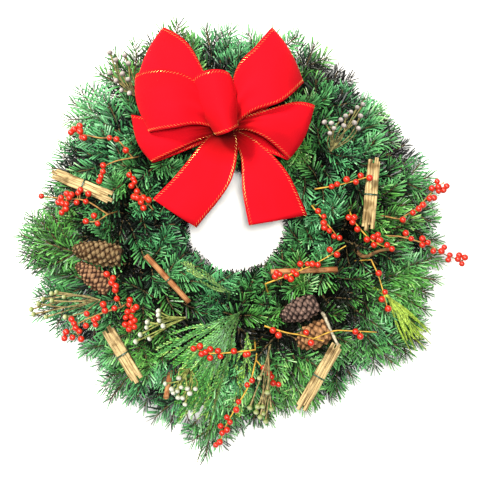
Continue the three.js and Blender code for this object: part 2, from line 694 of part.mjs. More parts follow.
function addFirBunch(i) {
  const mid = sectorAngle(i);
  const half = 180 / SECTORS;
  const along = V(-Math.sin(rad(mid)), Math.cos(rad(mid)), 0);
  const center = aroundHole(BUTT.r, mid, BUTT.z);
  const walls = [-1, 1].map((sign) => {
    const a = rad(mid + sign * half);
    return V(Math.sin(a), -Math.cos(a), 0).multiplyScalar(sign);
  });
  const inside = (p, margin) => walls.every((n) => n.x * (p.x - HOLE[0]) + n.y * (p.y - HOLE[1]) > margin);
  const lipZ = STRIP.height - STRIP.thick / 2;
  const clamps = [
    [STRIP.inner + 1, 0, STRIP.inner + 1], [STRIP.outer - 1, 0, STRIP.outer - 1],
    [STRIP.inner, lipZ, STRIP.inner + STRIP.lip], [STRIP.outer - STRIP.lip, lipZ, STRIP.outer],
  ].map(([r1, z, r2]) => ({ a: aroundHole(r1, mid, z), b: aroundHole(r2, mid, z || STRIP.height), r: 6 }));
  const around = [...obstacles, ...clamps];
  const butt = [-1, -0.5, 0.5, 1].map((t) => center.clone().addScaledVector(along, t * BUTT.half));
  const parts = [stemAlong(butt, [6.5, BUTT.radius, BUTT.radius, 6.5], 6)];
  const taken = [{ a: butt[0], b: butt[3], r: 6.5, shoot: -1 }];
  const wanted = shootPlan(i);
  const lines = wanted.map((s, k) => {
    for (let attempt = 0; attempt < 40; attempt += 1) {
      const seed = 1000 * i + 50 * k + attempt;
      const wander = attempt / 14;
      const place = (Math.sign(s.side) || 1) * (9 + 13 * Math.min(1, Math.abs(s.side)));
      const root = center.clone().addScaledVector(along, place + wander * spread(seed, 5));
      const tip = aroundHole(
        s.r * (1 - 0.04 * wander * draw(seed + 11)),
        mid + s.off + wander * spread(seed + 23, 4),
        s.z - wander * 12 * draw(seed + 31),
      );
      const bend = root.clone().lerp(tip, 0.5).setZ(root.z + (tip.z - root.z) * 0.66 + 4);
      const line = [root, bend, tip];
      const smooth = new THREE.CatmullRomCurve3(line).getSpacedPoints(7);
      const free = smooth.slice(1).every((p) => inside(p, CORE + 1))
        && smooth.slice(1, -1).every((p, j) => isClear(p, smooth[j + 2], CORE, around));
      if (free) return line;
    }
    return null;
  });
  lines.forEach((line, k) => {
    if (line === null) return;
    const smooth = new THREE.CatmullRomCurve3(line).getSpacedPoints(4);
    smooth.slice(1).forEach((b, j) => taken.push({ a: smooth[j], b, r: CORE * 0.8, shoot: k }));
  });
  lines.forEach((line, k) => {
    if (line === null) return;
    const clear = (p, q, whorl) => {
      const others = taken.filter((o) => o.shoot !== k || Math.abs(o.whorl - whorl) > 1);
      if (!inside(q, GAP + 0.2) || !isClear(p, q, 0.7, around)) return false;
      if (others.some((o) => segmentDistance(p, q, o.a, o.b) < o.r + 1.1)) return false;
      taken.push({ a: p, b: q, r: 0.5, shoot: k, whorl });
      return true;
    };
    parts.push(firShoot(line, wanted[k].whorls, 7000 * i + 300 * k, clear));
  });
  addPiece(`fir_bunch_${twoDigits(i)}`, join(parts), 0x2f6b3f, 0.7);
}

// ---------- what is on the wreath, placed by hand ----------
const RED_TWIGS = [
  { z: 80, stems: [[[-138, 106], [-158, 129], [-180, 131], [-204, 137], [-214, 141]],
    [[-138, 106], [-160, 101], [-176, 92], [-180, 77]]],
  berries: [[-216, 138], [-212, 142], [-205, 146], [-204, 139], [-202, 132], [-199, 131], [-167, 131],
    [-158, 129], [-146, 115], [-175, 96], [-175, 88], [-178, 82], [-180, 76]] },
  { z: 79, stems: [[[-112, 40], [-124, 56], [-134, 72], [-142, 91]]],
    berries: [[-142, 84], [-137, 79], [-135, 75], [-139, 70], [-132, 63], [-132, 55], [-136, 56], [-124, 55],
      [-127, 49], [-117, 52], [-124, 42]] },
  { z: 78, stems: [[[-170, 34], [-197, 51], [-225, 54], [-254, 57]], [[-170, 34], [-184, 25], [-199, 25]]],
    berries: [[-254, 57], [-229, 55], [-221, 60], [-218, 55], [-215, 59], [-232, 49], [-227, 48], [-222, 47],
      [-223, 41], [-228, 36], [-204, 65], [-207, 61], [-194, 60], [-209, 49], [-197, 50], [-187, 32],
      [-197, 25], [-182, 22]] },
  { z: 84, stems: [[[-152, -84], [-178, -92], [-205, -104], [-222, -118]],
    [[-152, -84], [-159, -64], [-170, -44]]],
    berries: [[-170, -42], [-162, -47], [-164, -53], [-158, -57], [-159, -62], [-157, -73], [-160, -85],
      [-174, -80], [-172, -88], [-181, -97], [-186, -100], [-184, -106], [-195, -92], [-214, -99],
      [-211, -104], [-209, -110], [-204, -114], [-196, -107], [-202, -124], [-221, -115], [-223, -123],
      [-213, -122]] },
  { z: 80, stems: [[[-141, -92], [-139, -80], [-141, -75]], [[-141, -92], [-138, -104], [-140, -112]]],
    berries: [[-141, -75], [-142, -81], [-133, -84], [-137, -88], [-144, -90], [-139, -96], [-146, -97],
      [-135, -101], [-140, -104], [-147, -106], [-142, -112], [-135, -109]] },
  { z: 84, leg: { turn: 1 }, stems: [[[18, -138], [-12, -141], [-39, -142], [-60, -136]]],
    berries: [[-60, -136], [-52, -133], [-45, -141], [-39, -137], [-50, -143], [-39, -148], [-29, -139],
      [-26, -146], [-9, -139], [6, -144], [9, -143]] },
  { z: 74, leg: { turn: 4.5 }, stems: [[[19, -152], [11, -182], [-6, -212], [-19, -236], [-27, -258]],
    [[19, -152], [34, -169], [46, -184]]],
  berries: [[29, -162], [36, -169], [39, -173], [41, -181], [48, -183], [14, -178], [8, -184], [-3, -205],
    [-6, -215], [-18, -225], [-14, -231], [-26, -236], [-18, -241], [-24, -245], [-27, -256], [-32, -260]] },
  { z: 86, stems: [[[31, -54], [60, -43], [95, -28], [133, -6]]],
    berries: [[43, -45], [45, -40], [49, -42], [57, -45], [63, -48], [66, -39], [70, -42], [75, -29],
      [84, -29], [90, -29], [97, -30], [112, -11], [121, -17]] },
  { z: 80, stems: [[[94, 66], [128, 72], [163, 82]]],
    berries: [[115, 69], [122, 72], [134, 78], [146, 75], [152, 83], [163, 80]] },
  { z: 80, stems: [[[90, 45], [105, 27], [124, 4]]],
    berries: [[98, 38], [105, 31], [105, 23], [106, 17], [112, 13], [118, 6], [125, 4]] },
  { z: 78, leg: { turn: 12 }, stems: [[[143, 26], [158, 8], [172, -3], [192, -10]]],
    berries: [[137, 30], [144, 30], [142, 24], [148, 15], [160, 2], [168, 5], [174, 8], [175, 2], [169, -5],
      [177, 1], [186, -5], [192, -10]] },
  { z: 76, stems: [[[202, 28], [224, 42], [241, 60], [260, 76]]],
    berries: [[206, 27], [219, 36], [226, 41], [232, 46], [240, 54], [246, 55], [243, 67], [250, 76],
      [251, 69], [252, 64], [258, 65], [262, 70]] },
  { z: 76, stems: [[[202, 6], [224, 0], [245, -8], [264, -19], [284, -25]]],
    berries: [[210, 10], [217, 3], [231, 3], [231, -5], [238, -2], [245, -13], [259, -8], [255, -13],
      [266, -18], [264, -24], [278, -18], [285, -21], [276, -23], [281, -29]] },
  { z: 78, leg: { turn: -5 }, stems: [[[166, -24], [176, -48], [186, -84]]],
    berries: [[175, -41], [183, -65], [179, -74], [187, -86]] },
  { z: 92, stems: [[[30, -107], [57, -115], [74, -118], [91, -123], [104, -126]],
    [[91, -123], [116, -113], [137, -113], [171, -115]]],
  berries: [[40, -112], [47, -118], [82, -115], [88, -128], [144, -114], [150, -120]] },
];

const PALE_SPRIGS = [
  { z: 78, base: [-133, 185], tips: [[-167, 240], [-159, 230], [-143, 226], [-151, 213], [-144, 206],
    [-159, 204], [-152, 192], [-142, 188], [-167, 214], [-148, 236]] },
  { z: 78, base: [116, 116], tips: [[155, 174], [148, 170], [140, 164], [133, 159], [127, 154], [152, 159],
    [144, 150], [131, 147], [149, 143], [115, 150], [106, 151], [118, 143], [113, 137]] },
  { z: 76, base: [-182, -76], leg: { depth: 30, turn: -10 },
    tips: [[-235, -65], [-241, -67], [-226, -71], [-252, -74], [-241, -76], [-258, -80], [-267, -87],
      [-264, -93], [-224, -97], [-249, -97]] },
  { z: 80, base: [-72, -98], tips: [[-105, -89], [-105, -94], [-104, -101], [-119, -103], [-99, -108],
    [-120, -110], [-116, -124], [-134, -128], [-128, -119]] },
  { z: 80, base: [-66, -164], leg: { depth: 30, turn: 2 },
    tips: [[-79, -174], [-96, -181], [-88, -188], [-76, -186], [-68, -187], [-58, -188], [-81, -191],
      [-86, -193], [-65, -193], [-80, -199], [-74, -199], [-71, -207]] },
  { z: 92, base: [34, -146], leg: { turn: 7 },
    tips: [[23, -172], [33, -190], [11, -209], [21, -208], [27, -208], [19, -215], [38, -211],
      [28, -217], [24, -221], [31, -227]] },
];

const CONES = [
  { tip: [-217, -10], base: [-154, -20], radius: 16, z: 66, rows: 8 },
  { tip: [-212, -29], base: [-169, -63], radius: 14, z: 62, rows: 7 },
  { tip: [52, -99], base: [98, -79], radius: 15.5, z: 66, rows: 7 },
  { tip: [72, -132], base: [114, -113], radius: 16.5, z: 62, rows: 7 },
];

const CONE_COLORS = [0x8f6b45, 0x6d4630, 0x4b3029, 0x9a6f4a];

const QUILLS = [
  { ends: [[-121, -18], [-66, -78]], z: [79, 76], tie: { number: 1 } },
  { ends: [[38, -39], [123, -36]], z: [77, 77], tie: { number: 2, place: 0.42 } },
  { ends: [[-96, -200], [-90, -150]], z: [76, 30], tie: { number: 3, place: 0.6, turn: 4 } },
];

const STICKS = [
  { ends: [[-240, 87], [-168, 56]], z: 70, tie: { number: 4 } },
  { ends: [[-171, -113], [-134, -176]], z: 70, tie: { number: 5 } },
  { ends: [[171, 104], [162, 18]], z: 72, tie: { number: 6 } },
  { ends: [[124, -134], [77, -212]], z: 68, tie: { number: 7 } },
];

const CEDAR_FAN = { foot: 2.2, ribs: [
  { width: 15, teeth: 5, rib: [[-3, -92, 78], [-52, -114, 79], [-104, -144, 66]] },
  { width: 16, teeth: 5, rib: [[-3, -92, 76], [-46, -138, 75], [-82, -174, 62]] },
  { width: 15, teeth: 6, rib: [[-3, -92, 74], [-44, -160, 71], [-84, -236, 48]] },
  { width: 14, teeth: 6, rib: [[-3, -92, 72], [-22, -165, 66], [-52, -238, 44]] },
  { width: 9, teeth: 6, rib: [[-3, -94, 70], [-36, -222, 60], [-57, -290, 30]] },
] };

const CEDAR_LIME = { foot: 2, leg: { turn: -3 }, ribs: [
  { width: 12, teeth: 6, rib: [[8, -119, 67], [3, -168, 65], [-5, -226, 50]] },
] };

const CEDAR_TWIG = { foot: 1.8, ribs: [
  { width: 9, teeth: 6, rib: [[-14, -66, 70], [-40, -50, 72], [-72, -30, 66]] },
] };

const TUFT = { base: [190, -72], z: 66, tips: [[248, -134, 48], [240, -140, 60], [228, -126, 70],
  [236, -120, 56], [214, -128, 66], [250, -118, 40], [222, -146, 52]] };

const GREY_TWIG = { z: 86, radius: 2.6, leg: { depth: 34 }, line: [[105, -94], [113, -112], [122, -131]] };
const BROWN_TWIG = { z: 76, radius: 3, leg: { turn: 4 }, line: [[158, -20], [178, -12], [196, -10]] };

// Each loop: the two ends of its far fold, the way back for both edges, and how low it starts.
const LOOPS = [
  { angle: 60, low: 86, far: [[-128, 200, 104], [-96, 265, 108]],
    back: [[[-92, 181, 121], [-66, 243, 124]], [[-56, 160, 118], [-44, 205, 120]]] },
  { angle: 88, low: 92, far: [[-112, 134, 116], [-129, 205, 118]],
    back: [[[-82, 137, 136], [-96, 208, 138]], [[-52, 142, 126], [-56, 196, 130]]] },
  { angle: 118, low: 84, far: [[-110, 99, 96], [-137, 158, 98]],
    back: [[[-82, 112, 106], [-106, 152, 110]], [[-50, 127, 104], [-58, 148, 108]]] },
  { angle: -50, low: 88, far: [[38, 264, 112], [77, 196, 110]],
    back: [[[18, 238, 128], [50, 170, 130]], [[-6, 210, 126], [14, 158, 124]]] },
  { angle: -112, low: 84, far: [[92, 170, 98], [58, 103, 98]],
    back: [[[66, 172, 112], [32, 126, 110]], [[26, 160, 110], [6, 138, 108]]] },
];

// The short loop over the knot runs from left to right: its far edge and its near edge in turn.
const CENTRE = [
  [[-24, 148, 101], [-21, 138, 101]], [[-42, 172, 108], [-27, 137, 108]], [[-60, 196, 126], [-30, 129, 124]],
  [[-38, 206, 143], [-15, 131, 143]], [[-14, 203, 131], [-4, 139, 129]], [[-8, 174, 112], [-7, 142, 112]],
  [[-14, 148, 101], [-13, 138, 101]],
];

const TAILS = [
  [[[-30, 138, 96], [-12, 136, 96]], [[-44, 128, 100], [-4, 122, 100]], [[-80, 84, 100], [-14, 72, 102]],
    [[-111, 53, 92], [-56, 17, 92]]],
  [[[-26, 140, 94], [-8, 140, 94]], [[-2, 112, 92], [24, 122, 93]], [[2, 62, 94], [58, 86, 95]],
    [[10, 20, 86], [84, 33, 86]]],
];

// ---------- assembly ----------
addRingFrame();
addBow(LOOPS, CENTRE, TAILS);
addBowWire();
QUILLS.forEach((quill, i) => addQuill(`cinnamon_quill_${i + 1}`, quill, 0xa35f2c));
STICKS.forEach((sticks, i) => addStickBundle(`split_sticks_${i + 1}`, sticks));
CONES.forEach((cone, i) => addCone(`pine_cone_${i + 1}`, cone, CONE_COLORS[i]));
RED_TWIGS.forEach((twig, i) => addRedTwig(`red_berry_twig_${twoDigits(i)}`, twig, 500 + 40 * i));
PALE_SPRIGS.forEach((sprig, i) => addPaleSprig(`pale_berry_sprig_${i + 1}`, sprig, 1500 + 40 * i));
addBareTwig('grey_twig', GREY_TWIG, 0x8d8473);
addBareTwig('brown_twig', BROWN_TWIG, 0x7a4f2c);
addTuft('lime_tuft', TUFT, 0x8fae3a);
addCedar('cedar_fan', CEDAR_FAN, 0x3f9a3a, 3000);
addCedar('cedar_lime_spray', CEDAR_LIME, 0x7fb23c, 3600);
addCedar('cedar_hole_twig', CEDAR_TWIG, 0x6d7a35, 3700);
for (let i = 0; i < SECTORS; i += 1) addFirBunch(i);

wreath.position.set(SHIFT[0], SHIFT[1], 0);

export default wreath;
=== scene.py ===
from math import atan2, cos, degrees, hypot, pi, radians, sin, sqrt

import bmesh
import bpy
from bpy.props import FloatProperty, FloatVectorProperty, IntProperty, PointerProperty
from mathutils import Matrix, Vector


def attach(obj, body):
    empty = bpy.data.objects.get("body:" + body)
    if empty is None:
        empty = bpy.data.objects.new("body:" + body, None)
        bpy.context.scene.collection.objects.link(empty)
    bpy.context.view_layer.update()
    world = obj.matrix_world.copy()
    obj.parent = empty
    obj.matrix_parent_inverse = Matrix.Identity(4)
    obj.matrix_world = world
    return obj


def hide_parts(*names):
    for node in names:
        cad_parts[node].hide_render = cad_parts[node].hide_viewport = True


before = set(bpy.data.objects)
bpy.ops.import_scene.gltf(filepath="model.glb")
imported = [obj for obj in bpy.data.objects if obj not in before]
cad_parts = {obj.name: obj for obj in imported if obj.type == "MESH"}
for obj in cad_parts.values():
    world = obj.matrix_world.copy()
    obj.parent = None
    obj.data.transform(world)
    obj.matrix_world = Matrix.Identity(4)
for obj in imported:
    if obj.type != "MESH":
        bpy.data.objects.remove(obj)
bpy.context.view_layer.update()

bl_info = {
    "name": "Fresh evergreen wreath",
    "version": (1, 0, 0),
    "blender": (4, 5, 0),
    "location": "View3D > Sidebar > Wreath",
    "description": "Makes the greenery, berries, cones, sticks and velvet bow of a fir wreath",
    "category": "Object",
}

MM = 0.001
SHIFT = Vector((6, -2, 0))          # from the layout's numbers to the wreath's own origin
HOLE = (-7, 26)                     # centre of the ring and of the hole, in the layout
SECTORS = 12
RAILS = (118, 148)                  # radii of the ring's two wires
RAIL_TOP = 5.7
BUTT = {"r": 133, "z": 16.5, "half": 28}    # the stem ends that a clamp holds together
KNOT = (-19, 142, 98)
WAIST = 13                          # width of the ribbon where it is gathered
# how far the greenery reaches from the origin, one number for every ten degrees
REACH = [277, 271, 275, 268, 266, 262, 276, 292, 288, 280, 300, 308,
         294, 290, 300, 274, 282, 274, 298, 280, 298, 272, 264, 284, 270, 272,
         300, 264, 254, 250, 256, 248, 268, 292, 276, 275]
FLOOR = 3                           # foliage stays this far above the table
HOLE_CLEAR = 61.5                   # no needle comes nearer to the hole's centre than this
GOLDEN = 0.6180339887


# ---------- what is on the wreath, in millimetres from the layout's origin ----------
RED_TWIGS = [
    {"z": 80, "stems": [[(-138, 106), (-158, 129), (-180, 131), (-204, 137), (-214, 141)],
                        [(-138, 106), (-160, 101), (-176, 92), (-180, 77)]],
     "berries": [(-216, 138), (-212, 142), (-205, 146), (-204, 139), (-202, 132), (-199, 131), (-167, 131),
                 (-158, 129), (-146, 115), (-175, 96), (-175, 88), (-178, 82), (-180, 76)]},
    {"z": 79, "stems": [[(-112, 40), (-124, 56), (-134, 72), (-142, 91)]],
     "berries": [(-142, 84), (-137, 79), (-135, 75), (-139, 70), (-132, 63), (-132, 55), (-136, 56),
                 (-124, 55), (-127, 49), (-117, 52), (-124, 42)]},
    {"z": 78, "stems": [[(-170, 34), (-197, 51), (-225, 54), (-254, 57)],
                        [(-170, 34), (-184, 25), (-199, 25)]],
     "berries": [(-254, 57), (-229, 55), (-221, 60), (-218, 55), (-215, 59), (-232, 49), (-227, 48),
                 (-222, 47), (-223, 41), (-228, 36), (-204, 65), (-207, 61), (-194, 60), (-209, 49),
                 (-197, 50), (-187, 32), (-197, 25), (-182, 22)]},
    {"z": 84, "stems": [[(-152, -84), (-178, -92), (-205, -104), (-222, -118)],
                        [(-152, -84), (-159, -64), (-170, -44)]],
     "berries": [(-170, -42), (-162, -47), (-164, -53), (-158, -57), (-159, -62), (-157, -73), (-160, -85),
                 (-174, -80), (-172, -88), (-181, -97), (-186, -100), (-184, -106), (-195, -92),
                 (-214, -99), (-211, -104), (-209, -110), (-204, -114), (-196, -107), (-202, -124),
                 (-221, -115), (-223, -123), (-213, -122)]},
    {"z": 80, "stems": [[(-141, -92), (-139, -80), (-141, -75)], [(-141, -92), (-138, -104), (-140, -112)]],
     "berries": [(-141, -75), (-142, -81), (-133, -84), (-137, -88), (-144, -90), (-139, -96), (-146, -97),
                 (-135, -101), (-140, -104), (-147, -106), (-142, -112), (-135, -109)]},
    {"z": 84, "turn": 1, "stems": [[(18, -138), (-12, -141), (-39, -142), (-60, -136)]],
     "berries": [(-60, -136), (-52, -133), (-45, -141), (-39, -137), (-50, -143), (-39, -148), (-29, -139),
                 (-26, -146), (-9, -139), (6, -144), (9, -143)]},
    {"z": 74, "turn": 4.5, "stems": [[(19, -152), (11, -182), (-6, -212), (-19, -236), (-27, -258)],
                                     [(19, -152), (34, -169), (46, -184)]],
     "berries": [(29, -162), (36, -169), (39, -173), (41, -181), (48, -183), (14, -178), (8, -184),
                 (-3, -205), (-6, -215), (-18, -225), (-14, -231), (-26, -236), (-18, -241), (-24, -245),
                 (-27, -256), (-32, -260)]},
    {"z": 86, "stems": [[(31, -54), (60, -43), (95, -28), (133, -6)]],
     "berries": [(43, -45), (45, -40), (49, -42), (57, -45), (63, -48), (66, -39), (70, -42), (75, -29),
                 (84, -29), (90, -29), (97, -30), (112, -11), (121, -17)]},
    {"z": 80, "stems": [[(94, 66), (128, 72), (163, 82)]],
     "berries": [(115, 69), (122, 72), (134, 78), (146, 75), (152, 83), (163, 80)]},
    {"z": 80, "stems": [[(90, 45), (105, 27), (124, 4)]],
     "berries": [(98, 38), (105, 31), (105, 23), (106, 17), (112, 13), (118, 6), (125, 4)]},
    {"z": 78, "turn": 12, "stems": [[(143, 26), (158, 8), (172, -3), (192, -10)]],
     "berries": [(137, 30), (144, 30), (142, 24), (148, 15), (160, 2), (168, 5), (174, 8), (175, 2),
                 (169, -5), (177, 1), (186, -5), (192, -10)]},
    {"z": 76, "stems": [[(202, 28), (224, 42), (241, 60), (260, 76)]],
     "berries": [(206, 27), (219, 36), (226, 41), (232, 46), (240, 54), (246, 55), (243, 67), (250, 76),
                 (251, 69), (252, 64), (258, 65), (262, 70)]},
    {"z": 76, "stems": [[(202, 6), (224, 0), (245, -8), (264, -19), (284, -25)]],
     "berries": [(210, 10), (217, 3), (231, 3), (231, -5), (238, -2), (245, -13), (259, -8), (255, -13),
                 (266, -18), (264, -24), (278, -18), (285, -21), (276, -23), (281, -29)]},
    {"z": 78, "turn": -5, "stems": [[(166, -24), (176, -48), (186, -84)]],
     "berries": [(175, -41), (183, -65), (179, -74), (187, -86)]},
    {"z": 92, "stems": [[(30, -107), (57, -115), (74, -118), (91, -123), (104, -126)],
                        [(91, -123), (116, -113), (137, -113), (171, -115)]],
     "berries": [(40, -112), (47, -118), (82, -115), (88, -128), (144, -114), (150, -120)]},
]

BROWN_STEMS = (0, 1, 2, 3, 4, 11, 12)    # the red berry twigs that are old and brown, not orange

PALE_SPRIGS = [
    {"z": 78, "finish": "lilac", "base": (-133, 185),
     "tips": [(-167, 240), (-159, 230), (-143, 226), (-151, 213), (-144, 206), (-159, 204), (-152, 192),
              (-142, 188), (-167, 214), (-148, 236)]},
    {"z": 78, "finish": "lilac", "base": (116, 116),
     "tips": [(155, 174), (148, 170), (140, 164), (133, 159), (127, 154), (152, 159), (144, 150),
              (131, 147), (149, 143), (115, 150), (106, 151), (118, 143), (113, 137)]},
    {"z": 76, "finish": "green", "base": (-182, -76), "turn": -10, "depth": 30,
     "tips": [(-235, -65), (-241, -67), (-226, -71), (-252, -74), (-241, -76), (-258, -80), (-267, -87),
              (-264, -93), (-224, -97), (-249, -97)]},
    {"z": 80, "finish": "white", "base": (-72, -98),
     "tips": [(-105, -89), (-105, -94), (-104, -101), (-119, -103), (-99, -108), (-120, -110),
              (-116, -124), (-134, -128), (-128, -119)]},
    {"z": 80, "finish": "white", "base": (-66, -164), "turn": 2, "depth": 30,
     "tips": [(-79, -174), (-96, -181), (-88, -188), (-76, -186), (-68, -187), (-58, -188), (-81, -191),
              (-86, -193), (-65, -193), (-80, -199), (-74, -199), (-71, -207)]},
    {"z": 92, "finish": "green", "base": (34, -146), "turn": 7,
     "tips": [(23, -172), (33, -190), (11, -209), (21, -208), (27, -208), (19, -215), (38, -211),
              (28, -217), (24, -221), (31, -227)]},
]

CONES = [
    {"slot": "cone_tan", "tip": (-217, -10), "base": (-154, -20), "radius": 16, "z": 66, "scales": 110,
     "dark": 0x4A3218, "light": 0x98825C},
    {"slot": "cone_brown", "tip": (-212, -29), "base": (-169, -63), "radius": 14, "z": 62, "scales": 100,
     "dark": 0x4A2C1C, "light": 0xAE8662},
    {"slot": "cone_dark", "tip": (52, -99), "base": (98, -79), "radius": 15.5, "z": 66, "scales": 96,
     "dark": 0x261A17, "light": 0x8E7468},
    {"slot": "cone_light", "tip": (72, -132), "base": (114, -113), "radius": 16.5, "z": 62, "scales": 62,
     "dark": 0x5C3C20, "light": 0xBE8E60},
]

QUILLS = [
    {"ends": ((-121, -18, 79), (-66, -78, 76)), "place": 0.52, "turn": 0},
    {"ends": ((38, -39, 77), (123, -36, 77)), "place": 0.42, "turn": 0},
    {"ends": ((-96, -200, 76), (-90, -150, 30)), "place": 0.6, "turn": 4},
]

STICKS = [
    {"ends": ((-240, 87, 70), (-168, 56, 74))},
    {"ends": ((-171, -113, 70), (-134, -176, 74))},
    {"ends": ((171, 104, 72), (162, 18, 76))},
    {"ends": ((124, -134, 68), (77, -212, 72))},
]

CEDAR_FAN = [
    [(-3, -92, 78), (-52, -114, 79), (-104, -144, 66)],
    [(-3, -92, 76), (-46, -138, 75), (-82, -174, 62)],
    [(-3, -92, 74), (-44, -160, 71), (-84, -236, 48)],
    [(-3, -92, 72), (-22, -165, 66), (-52, -238, 44)],
]
CEDAR_TAIL = [(-3, -94, 70), (-36, -222, 60), (-57, -290, 30)]
CEDAR_LIME = [(8, -119, 67), (3, -168, 65), (-5, -226, 50)]
CEDAR_TWIG = [(-14, -66, 70), (-40, -50, 72), (-72, -30, 66)]

TUFT = {"base": (190, -72, 66), "tips": [(248, -134, 48), (240, -140, 60), (228, -126, 70), (236, -120, 56),
                                         (214, -128, 66), (250, -118, 40), (222, -146, 52)]}
GREY_TWIG = {"z": 86, "radius": 2.6, "depth": 34, "line": [(105, -94), (113, -112), (122, -131)]}
BROWN_TWIG = {"z": 76, "radius": 3, "turn": 4, "line": [(158, -20), (178, -12), (196, -10)]}

LOOPS = [
    {"angle": 60, "low": 86, "far": ((-128, 200, 104), (-96, 265, 108)),
     "back": [((-92, 181, 121), (-66, 243, 124)), ((-56, 160, 118), (-44, 205, 120))]},
    {"angle": 88, "low": 92, "far": ((-112, 134, 116), (-129, 205, 118)),
     "back": [((-82, 137, 136), (-96, 208, 138)), ((-52, 142, 126), (-56, 196, 130))]},
    {"angle": 118, "low": 84, "far": ((-110, 99, 96), (-137, 158, 98)),
     "back": [((-82, 112, 106), (-106, 152, 110)), ((-50, 127, 104), (-58, 148, 108))]},
    {"angle": -50, "low": 88, "far": ((38, 264, 112), (77, 196, 110)),
     "back": [((18, 238, 128), (50, 170, 130)), ((-6, 210, 126), (14, 158, 124))]},
    {"angle": -112, "low": 84, "far": ((92, 170, 98), (58, 103, 98)),
     "back": [((66, 172, 112), (32, 126, 110)), ((26, 160, 110), (6, 138, 108))]},
]
# the short loop over the knot, from left to right: its far edge and its near edge in turn
CENTRE = [((-24, 148, 101), (-21, 138, 101)), ((-42, 172, 108), (-27, 137, 108)),
          ((-60, 196, 126), (-30, 129, 124)), ((-38, 206, 143), (-15, 131, 143)),
          ((-14, 203, 131), (-4, 139, 129)), ((-8, 174, 112), (-7, 142, 112)),
          ((-14, 148, 101), (-13, 138, 101))]
TAILS = [
    [((-30, 138, 96), (-12, 136, 96)), ((-44, 128, 100), (-4, 122, 100)), ((-80, 84, 100), (-14, 72, 102)),
     ((-111, 53, 92), (-56, 17, 92))],
    [((-26, 140, 94), (-8, 140, 94)), ((-2, 112, 92), (24, 122, 93)), ((2, 62, 94), (58, 86, 95)),
     ((10, 20, 86), (84, 33, 86))],
]


# ---------- settings ----------
def linear(code):
    """An sRGB hex colour as linear red, green, blue and alpha."""
    parts = [((code >> shift) & 255) / 255 for shift in (16, 8, 0)]
    return tuple(c / 12.92 if c <= 0.04045 else ((c + 0.055) / 1.055) ** 2.4 for c in parts) + (1.0,)


def size(name, description, default):
    return FloatProperty(name=name, description=description, default=default, min=0, unit="LENGTH",
                         precision=4)


def colour(name, description, code):
    return FloatVectorProperty(name=name, description=description, default=linear(code), size=4, min=0,
                               max=1, subtype="COLOR")


class GreenerySettings(bpy.types.PropertyGroup):
    needle: size("Needle", "Length of a fir needle", 0.0195)
    spacing: size("Spacing", "Distance along a shoot from one needle to the next", 0.00122)
    seed: IntProperty(name="Seed", description="Seed of the greenery's random turns", default=4, min=0)
    fir: colour("Fir", "Colour of a fir needle", 0x48945A)
    cedar: colour("Cedar", "Colour of the cedar fan", 0x479C42)
    lime: colour("Lime", "Colour of the lime tuft", 0x7CA82C)


class BerrySettings(bpy.types.PropertyGroup):
    red_size: size("Red berry", "Diameter of a red berry", 0.0082)
    pale_size: size("Pale berry", "Diameter of a pale berry", 0.0070)
    red: colour("Red", "Colour of a ripe berry", 0xCE3E22)


class BowSettings(bpy.types.PropertyGroup):
    thickness: size("Ribbon", "Thickness of the velvet ribbon", 0.0009)
    width: size("Width", "Width of the ribbon", 0.07)
    edge: size("Edge", "Thickness of the gold cord along each edge", 0.0008)
    velvet: colour("Velvet", "Colour of the velvet", 0xC80618)
    gold: colour("Gold", "Colour of the metallic thread", 0xF2C870)


class WoodSettings(bpy.types.PropertyGroup):
    cinnamon: colour("Cinnamon", "Colour of the cinnamon bark", 0xB08052)
    split: colour("Split wood", "Colour of the split sticks", 0xC4AE7C)


class StageSettings(bpy.types.PropertyGroup):
    floor: colour("Floor", "Colour of the table", 0xF8F8F6)
    height: size("Camera height", "Height of the camera over the table", 1.24)


# ---------- small helpers ----------
def draw(k):
    """A repeatable draw between 0 and 1 for a whole number."""
    s = sin(k * 12.9898 + 4.1414) * 43758.5453
    return s - (s // 1)


def spread(k, half):
    return (draw(k) - 0.5) * 2 * half


def around_hole(radius, angle, z):
    return Vector((HOLE[0] + radius * cos(radians(angle)), HOLE[1] + radius * sin(radians(angle)), z))


def polar(x, y):
    dx, dy = x - HOLE[0], y - HOLE[1]
    return hypot(dx, dy), degrees(atan2(dy, dx)) % 360


def smooth(points, steps):
    """A rounded line through the points, with so many steps from each to the next."""
    p = [Vector(q) for q in points]
    ends = [p[0] * 2 - p[1], *p, p[-1] * 2 - p[-2]]
    line = []
    for a, b, c, d in zip(ends, ends[1:], ends[2:], ends[3:]):
        for i in range(steps):
            t = i / steps
            line.append((2 * b + (c - a) * t + (2 * a - 5 * b + 4 * c - d) * t * t
                         + (3 * b - a - 3 * c + d) * t ** 3) / 2)
    return line + [p[-1]]


def path_length(line):
    return sum((b - a).length for a, b in zip(line, line[1:]))


def along(line, share):
    """The place and the direction at a share of a line's length."""
    left = share * path_length(line)
    for a, b in zip(line, line[1:]):
        step = (b - a).length
        if left <= step:
            return a.lerp(b, left / step), (b - a).normalized()
        left -= step
    return line[-1].copy(), (line[-1] - line[-2]).normalized()


def taper(count, start, end):
    return [start + (end - start) * i / (count - 1) for i in range(count)]


def bare(points, girths, tone=0.5):
    """A line of a skeleton that bears no leaves."""
    return points, girths, [0.0] * len(points), tone


def stem_line(points, thick, thin, tone=0.3):
    return bare(points, taper(len(points), thick, thin), tone)


def foot_for(x, y, turn=0):
    """The spot on the nearer rail, clear of the clamps, where a pick is wired down."""
    r, seen = polar(x, y)
    angle = seen + turn
    rail = min(RAILS, key=lambda wire: abs(r - wire))
    step = 360 / SECTORS
    nearest = round(angle / step) * step
    off = angle - nearest
    clear = 6.5
    if abs(off) < clear:
        angle = nearest + (-clear if off < 0 else clear)
    return around_hole(rail, angle, RAIL_TOP)


